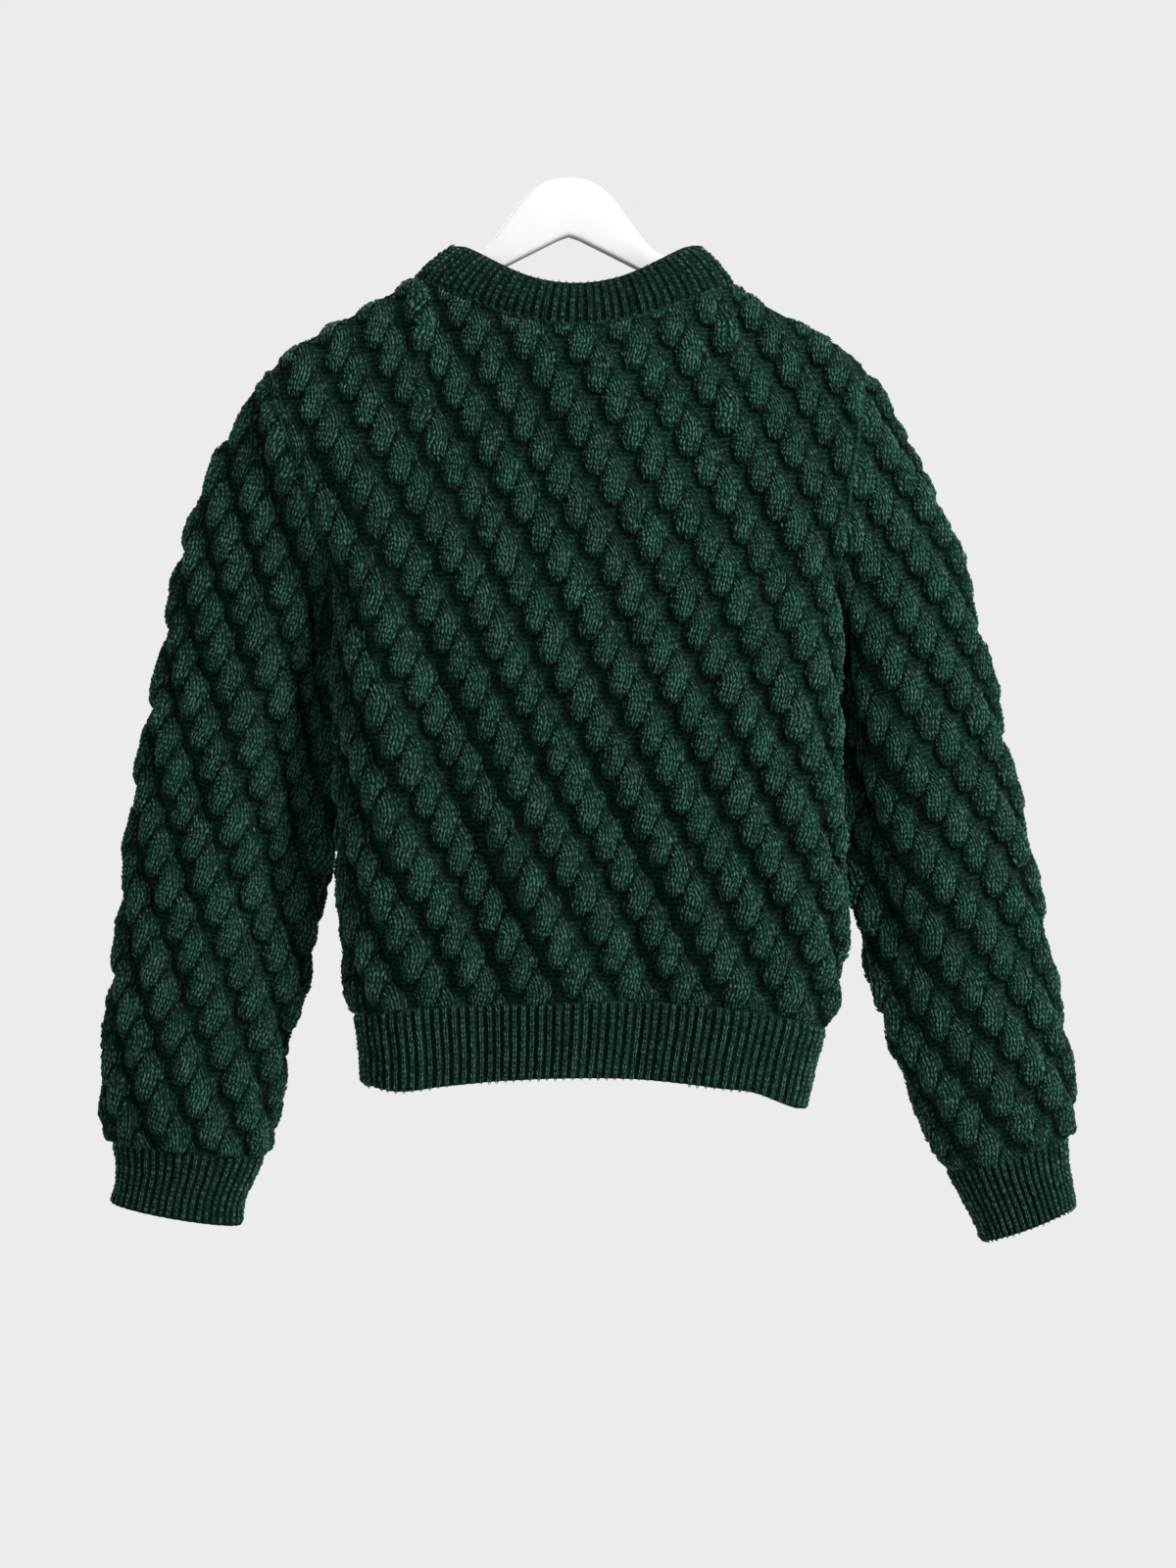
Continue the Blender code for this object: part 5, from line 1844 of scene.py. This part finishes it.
@dataclass
class Studio:
    """Camera, lights, background and floor."""

    camera_place: Triple = (0.014, -2.2, -0.4326)
    frame_tall: float = 1.12
    sensor: float = 36.0
    background: float = 0.84
    glow: float = 0.32
    floor_height: float = -1.24
    floor_radius: float = 0.88
    floor_sides: int = 96
    lamps: tuple[tuple[str, Triple, float, float], ...] = (
        # name, place, size, power
        ("key", (1.75, -1.6, 1.0), 0.9, 75.0),
        ("fill", (-1.2, -2.2, 0.2), 1.4, 9.0),
        ("top", (0.1, -0.3, 1.5), 1.0, 9.0),
        ("back", (-0.7, 1.8, 0.6), 1.2, 40.0),
        ("side", (1.0, -0.9, -0.5), 0.5, 3.2),
    )
    aim: Triple = (0.014, 0.0, -0.40)

    def build(self) -> None:
        """Make the camera, lamps, background and floor."""
        data = bpy.data.cameras.new("camera")
        data.sensor_width = self.sensor
        data.lens = self.sensor * abs(self.camera_place[1]) / self.frame_tall
        camera = new_object("camera", data)
        camera.location = self.camera_place
        camera.rotation_euler = (math.pi / 2, 0.0, 0.0)
        bpy.context.scene.camera = camera
        for name, place, size, power in self.lamps:
            lamp = bpy.data.lights.new(name, "AREA")
            lamp.size = size
            lamp.energy = power
            thing = new_object(name, lamp)
            thing.location = place
            way = np.array(place) - np.array(self.aim)
            flat = math.hypot(way[0], way[1])
            thing.rotation_euler = (math.atan2(flat, way[2]), 0.0, math.atan2(way[1], way[0]) + math.pi / 2)
        world = bpy.data.worlds.new("studio")
        bpy.context.scene.world = world
        world.use_nodes = True
        self.light_world(world.node_tree)
        bpy.context.scene.view_settings.view_transform = "Standard"
        mesh = bpy.data.meshes.new("floor")
        angle = np.arange(self.floor_sides) / self.floor_sides * TURN
        rim = self.floor_radius * np.stack([np.cos(angle), np.sin(angle)], axis=1)
        mesh.from_pydata([(x, y, self.floor_height) for x, y in rim.tolist()], [], [tuple(range(len(rim)))])
        mesh.materials.append(FloorFinish().build())
        new_object("floor", mesh)

    def light_world(self, tree: bpy.types.NodeTree) -> None:
        """Make the background pale where it shows, and dimmer as a light."""
        seen = tree.nodes["Background"]
        seen.inputs["Color"].default_value = (*[self.background] * 3, 1.0)
        glow = tree.nodes.new("ShaderNodeBackground")
        glow.inputs["Color"].default_value = (1.0, 1.0, 1.0, 1.0)
        glow.inputs["Strength"].default_value = self.glow
        path = tree.nodes.new("ShaderNodeLightPath")
        mix = tree.nodes.new("ShaderNodeMixShader")
        tree.links.new(path.outputs["Is Camera Ray"], mix.inputs[0])
        tree.links.new(glow.outputs[0], mix.inputs[1])
        tree.links.new(seen.outputs[0], mix.inputs[2])
        tree.links.new(mix.outputs[0], tree.nodes["World Output"].inputs["Surface"])


class Stitcher:
    """Maker of the raised stitches and the rolled seams."""

    def __init__(self, yarn: Material) -> None:
        """Make the trees; the raised stitches are in the given yarn."""
        self.yarn = yarn
        self.cable = StitchField()
        self.rib = StitchField(slim=0.72)
        self.stitches = stitch_tree()
        self.seams = seam_tree()

    def cover(self, name: str, skin: Skin, slot: str) -> Object:
        """Cover a knitted face with stitches.

        Args:
            name: Name of the piece.
            skin: The face.
            slot: Material slot of the record.

        Returns:
            The stitches as one joined mesh.
        """
        pattern = StitchShape().build("one_stitch")
        kind = self.rib if slot == "rib_knit" else self.cable
        points = kind.points(skin)
        values = {"Stitch": pattern, "Uneven": kind.uneven, "Seed": kind.uneven_seed, "Finish": self.yarn}
        piece = self.stitches.run(name, points, values)
        bpy.data.objects.remove(pattern)
        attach(piece, "root")
        LOG.info("%s has %d stitches", name, len(points.vertices))
        return piece

    def sew(self, name: str, seams: list[tuple[Array, bool, float]], finish: Material,
            ) -> Object:
        """Lay rolled seams along lines.

        Args:
            name: Name of the piece.
            seams: Points, whether the line closes, and thickness, for each seam.
            finish: Material of the seams.

        Returns:
            The seams as one joined mesh.
        """
        parts = []
        for path, closed, thick in seams:
            values = {"Radius": thick / 2 * MM, "Spacing": SEAM_SPACING * MM, "Finish": finish}
            parts.append(self.seams.run(name + "_part", path_mesh([(path, closed)]), values))
        work = bmesh.new()
        for part in parts:
            work.from_mesh(part.data)
            bpy.data.objects.remove(part)
        mesh = bpy.data.meshes.new(name)
        work.to_mesh(mesh)
        work.free()
        mesh.materials.append(finish)
        piece = new_object(name, mesh)
        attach(piece, "root")
        LOG.info("%s follows %d lines", name, len(seams))
        return piece


@dataclass
class Sweater:
    """The whole sweater: panels, hems, sleeves, cuffs and neckband."""

    panel_detail: tuple[int, int] = (370, 490)
    hem_detail: tuple[int, int] = (481, 52)
    sleeve_detail: tuple[int, int] = (300, 520)
    cuff_detail: tuple[int, int] = (352, 50)
    band_detail: tuple[int, int] = (704, 36)
    neck_roll: float = 3.4
    shoulder_roll: float = 3.4
    side_roll: float = 2.8
    hem_roll: float = 2.2
    arm_roll: float = 3.0
    cuff_roll: float = 2.4
    form: BodyForm = field(default_factory=BodyForm)
    chart: CableChart = field(default_factory=CableChart)
    hem_chart: RibChart = field(default_factory=RibChart)
    cuff_chart: RibChart = field(default_factory=lambda: RibChart(pitch=9.0, rise=2.7))
    sleeve_left: TubeForm = TubeForm(
        rings=(
            # outer x, outer z, inner x, inner z, middle y, half depth
            (-215.0, -139.0, -162.0, -292.0, 0.0, 28.0),
            (-230.5, -169.0, -167.0, -321.0, 16.0, 30.5),
            (-250.5, -199.5, -167.5, -352.5, 24.0, 33.0),
            (-265.5, -235.5, -164.5, -382.0, 29.0, 35.0),
            (-279.5, -280.0, -163.5, -411.0, 32.0, 36.0),
            (-289.5, -333.0, -164.5, -439.0, 33.0, 37.0),
            (-299.0, -379.0, -169.0, -462.5, 33.0, 38.0),
            (-308.0, -428.0, -173.5, -485.0, 33.0, 38.0),
            (-315.0, -477.0, -182.0, -515.0, 32.0, 38.5),
            (-319.5, -525.5, -187.0, -543.5, 31.0, 39.0),
            (-325.0, -568.0, -193.5, -574.5, 30.0, 39.5),
            (-330.0, -610.0, -202.0, -606.0, 30.0, 39.5),
            (-333.0, -648.0, -210.0, -645.5, 30.0, 38.5),
            (-331.0, -679.5, -219.0, -684.0, 30.0, 35.0),
            (-327.0, -690.0, -222.5, -702.0, 30.0, 31.0),
        ),
        gaps=(0.4, 0.2),
    )
    sleeve_right: TubeForm = TubeForm(
        rings=(
            # outer x, outer z, inner x, inner z, middle y, half depth
            (211.0, -139.0, 189.0, -295.0, 0.0, 28.0),
            (227.5, -168.0, 193.5, -322.0, 16.0, 30.5),
            (247.5, -199.5, 195.0, -356.5, 24.0, 33.0),
            (264.0, -230.5, 193.0, -388.5, 29.0, 35.0),
            (279.0, -268.5, 191.5, -420.0, 32.0, 36.0),
            (290.0, -308.5, 193.0, -450.0, 33.0, 37.0),
            (301.0, -350.0, 196.5, -478.5, 33.5, 38.0),
            (310.0, -395.5, 203.5, -505.0, 33.0, 38.0),
            (320.0, -438.5, 210.5, -531.5, 32.0, 38.5),
            (329.0, -480.5, 218.5, -554.5, 31.0, 39.0),
            (337.5, -522.5, 225.0, -580.5, 30.0, 39.5),
            (343.5, -560.5, 231.5, -601.5, 30.0, 39.5),
            (351.5, -598.5, 239.5, -626.0, 30.0, 39.5),
            (358.5, -637.0, 250.0, -650.5, 30.0, 38.5),
            (361.5, -668.5, 261.5, -680.0, 30.0, 35.5),
            (358.5, -688.0, 276.0, -712.0, 30.0, 31.0),
        ),
        gaps=(0.4, 0.2),
    )
    cuff_left: TubeForm = TubeForm(
        rings=(
            # outer x, outer z, inner x, inner z, middle y, half depth
            (-327.0, -690.0, -222.5, -702.0, 30.0, 31.0),
            (-324.5, -707.0, -230.0, -717.5, 30.0, 28.5),
            (-325.5, -722.0, -237.0, -733.0, 30.0, 27.5),
            (-329.0, -735.5, -239.0, -751.5, 30.0, 28.0),
        ),
        gaps=(0.2, 0.0),
    )
    cuff_right: TubeForm = TubeForm(
        rings=(
            # outer x, outer z, inner x, inner z, middle y, half depth
            (358.5, -688.0, 276.0, -712.0, 30.0, 31.0),
            (359.0, -706.0, 285.0, -728.0, 30.0, 28.5),
            (362.0, -723.0, 295.0, -747.0, 30.0, 27.5),
            (364.5, -737.5, 301.5, -762.0, 30.0, 28.0),
        ),
        gaps=(0.2, 0.0),
    )
    near_creases: tuple[Crease, ...] = (
        Crease((-152.0, -240.0), (-122.0, -580.0), 18.0, 6.2),
        Crease((-118.0, -290.0), (-62.0, -600.0), 16.0, -6.0),
        Crease((-62.0, -400.0), (-22.0, -600.0), 14.0, 4.4),
        Crease((-10.0, -340.0), (46.0, -600.0), 15.0, -5.4),
        Crease((60.0, -430.0), (90.0, -600.0), 13.0, 3.4),
        Crease((112.0, -180.0), (150.0, -370.0), 15.0, -5.0),
        Crease((-188.0, -170.0), (-118.0, -262.0), 15.0, 4.4),
        Crease((-60.0, -170.0), (20.0, -205.0), 13.0, -2.6),
    )
    far_creases: tuple[Crease, ...] = (
        Crease((-142.0, -250.0), (-110.0, -560.0), 17.0, -4.2),
        Crease((-74.0, -330.0), (-30.0, -600.0), 13.0, 3.6),
        Crease((6.0, -410.0), (30.0, -600.0), 12.0, -3.0),
        Crease((50.0, -300.0), (94.0, -590.0), 15.0, -3.8),
        Crease((112.0, -220.0), (150.0, -420.0), 13.0, 3.4),
    )
    left_creases: tuple[Crease, ...] = (
        Crease((60.0, 0.0), (46.0, 390.0), 26.0, -20.0),
        Crease((8.0, 40.0), (-6.0, 300.0), 16.0, 3.6),
        Crease((-30.0, 140.0), (-22.0, 470.0), 12.0, -2.6),
        Crease((30.0, 330.0), (26.0, 500.0), 12.0, -3.4),
        Crease((-140.0, 90.0), (-120.0, 420.0), 15.0, -5.0),
        Crease((-200.0, 150.0), (-190.0, 400.0), 14.0, 3.4),
    )
    right_creases: tuple[Crease, ...] = (
        Crease((-62.0, 0.0), (-44.0, 420.0), 21.0, -18.0),
        Crease((-16.0, 60.0), (4.0, 330.0), 14.0, 3.4),
        Crease((28.0, 120.0), (34.0, 450.0), 12.0, -2.6),
        Crease((-26.0, 360.0), (-16.0, 500.0), 12.0, -3.2),
        Crease((130.0, 90.0), (118.0, 420.0), 15.0, -5.0),
        Crease((190.0, 150.0), (186.0, 400.0), 14.0, 3.4),
    )

    def edge(self, side: Side, start: float, end: float, down: float) -> Array:
        """Line along a body panel at a place down, between two places across."""
        places = np.linspace(start, end, EDGE_STEPS)
        if side is Side.FAR:
            places = 1.0 - places
        return self.form.panel_point(places, down, side, 0.0)

    def seam_paths(self, band: Neckband) -> list[tuple[Array, bool, float]]:
        """Lines of the seams.

        Args:
            band: The neckband, whose lower edge is sewn round the neck.

        Returns:
            For each seam its points, whether it closes, and its thickness.
        """
        around = np.linspace(0.0, TURN, RING_STEPS, endpoint=False)
        form = self.form
        span = form.tip_right[0] - form.tip_left[0]
        neck_start = (form.neck_left - form.tip_left[0]) / span
        neck_end = (form.neck_right - form.tip_left[0]) / span
        downs = np.linspace(form.underarm_place, 1.0, SIDE_STEPS)
        left = form.panel_point(0.0, downs, Side.NEAR, 0.0)
        right = form.panel_point(1.0, downs, Side.NEAR, 0.0)
        waist = [
            self.edge(Side.NEAR, CORNER, 1 - CORNER, 1.0),
            self.edge(Side.FAR, 1 - CORNER, CORNER, 1.0),
        ]
        tops = [self.edge(Side.NEAR, 0.0, neck_start, 0.0), self.edge(Side.NEAR, neck_end, 1.0, 0.0)]
        for line in (left, right, *tops):
            line[:, 1] = 0.0
        seams = [(band.point(around, 0.0, 0.0), True, self.neck_roll)]
        seams += [(line, False, self.shoulder_roll) for line in tops]
        seams += [(left, False, self.side_roll), (right, False, self.side_roll)]
        seams.append((np.concatenate(waist), True, self.hem_roll))
        seams += [(tube.point(around, 1.0, 0.0), True, self.cuff_roll) for tube in self.sleeve_forms]
        return seams

    def armholes(self) -> list[tuple[Array, bool, float]]:
        """Lines of the armhole seams."""
        around = np.linspace(0.0, TURN, RING_STEPS, endpoint=False)
        return [(tube.point(around, 0.0, 0.0), True, self.arm_roll) for tube in self.sleeve_forms]

    @property
    def sleeve_forms(self) -> tuple[TubeForm, TubeForm]:
        """Forms of both sleeves."""
        return self.sleeve_left, self.sleeve_right

    def build(
        self, wool: Material, yarn: Material, sewn: Material,
        ridge: Material,
    ) -> None:
        """Make every cloth piece with its stitches, then the seams.

        Args:
            wool: The knitted cloth's material.
            yarn: The material of raised stitches.
            sewn: The material of the seams, a darker copy of the yarn as painted shade.
            ridge: The material of the armhole seams, a darker copy of the yarn as painted shade.
        """
        maker = Stitcher(yarn)
        for side, name, node, creases in (
            (Side.NEAR, "back_cables", "back_panel", self.near_creases),
            (Side.FAR, "front_cables", "front_panel", self.far_creases),
        ):
            panel = BodyPanel(self.form, side, self.chart, creases)
            piece = cloth(panel.build(name, wool), node)
            stitches = maker.cover(name + "_stitches", panel.surface(*self.panel_detail), "cable_knit")
        for side, name, node in (
            (Side.NEAR, "back_hem_rib", "hem_back"),
            (Side.FAR, "front_hem_rib", "hem_front"),
        ):
            hem = HemHalf(self.form, side, self.hem_chart)
            piece = cloth(hem.build(name, wool), node)
            stitches = maker.cover(name + "_stitches", hem.surface(*self.hem_detail), "rib_knit")
        for hand, form, creases, slope, name, node in (
            (Hand.LEFT, self.sleeve_left, self.left_creases, 0.56, "left_sleeve_cables", "sleeve_left"),
            (Hand.RIGHT, self.sleeve_right, self.right_creases, 0.46, "right_sleeve_cables", "sleeve_right"),
        ):
            chart = CableChart(pitch=34.5, slope=slope, step=20.8, stagger=4.7, origin=(0.0, 0.0), rise=6.4)
            knit = TubeKnit(
                form, hand, columns=156, rows=224, inner_columns=48, inner_rows=60, top_fade=11.0,
                end_fade=15.0,
            )
            sleeve = Sleeve(knit, chart, creases)
            piece = cloth(sleeve.build(name, wool), node)
            stitches = maker.cover(name + "_stitches", sleeve.surface(*self.sleeve_detail), "cable_knit")
        for hand, form, name, node in (
            (Hand.LEFT, self.cuff_left, "left_cuff_rib", "cuff_left"),
            (Hand.RIGHT, self.cuff_right, "right_cuff_rib", "cuff_right"),
        ):
            knit = TubeKnit(
                form, hand, columns=264, rows=24, inner_columns=44, inner_rows=6, top_fade=3.0,
                end_fade=2.0,
            )
            cuff = Cuff(knit, self.cuff_chart)
            piece = cloth(cuff.build(name, wool), node)
            stitches = maker.cover(name + "_stitches", cuff.surface(*self.cuff_detail), "rib_knit")
        band = Neckband(self.form, RibChart(pitch=11.0, rise=3.0))
        piece = cloth(band.build("neckband_rib", wool), "neckband")
        stitches = maker.cover("neckband_rib_stitches", band.surface(*self.band_detail), "rib_knit")
        maker.sew("seam_rolls", self.seam_paths(band), sewn)
        maker.sew("armhole_rolls", self.armholes(), ridge)


def main() -> None:
    """Build the scene in order."""
    logging.basicConfig(level=logging.INFO, format="%(message)s")
    Studio().build()
    hanger = Hanger().build("hanger_board", HangerFinish().build())
    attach(hanger, "root")
    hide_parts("hanger")
    LOG.info("hanger_board stands for hanger")
    # The seam and armhole yarns are darker copies of the stitch yarn: painted shade in the grooves at the
    # seams.
    seam = YarnFinish(
        name="seam_yarn_painted_shade", dark=(0.0020, 0.0110, 0.0085), pale=(0.0120, 0.0440, 0.0350),
        fleck=(0.05, 0.09, 0.08), follow=0.0,
    )
    ridge = YarnFinish(
        name="ridge_yarn_painted_shade", dark=(0.0024, 0.0140, 0.0105), pale=(0.0200, 0.0700, 0.0550),
        fleck=(0.08, 0.14, 0.12), follow=0.0,
    )
    Sweater().build(WoolFinish().build(), YarnFinish().build(), seam.build(), ridge.build())
    shown = [thing for thing in bpy.context.scene.objects if thing.type == "MESH" and not thing.hide_render]
    for thing in shown:
        thing.data.calc_loop_triangles()
    LOG.info("%d triangles in all", sum(len(thing.data.loop_triangles) for thing in shown))


if __name__ == "__main__":
    main()
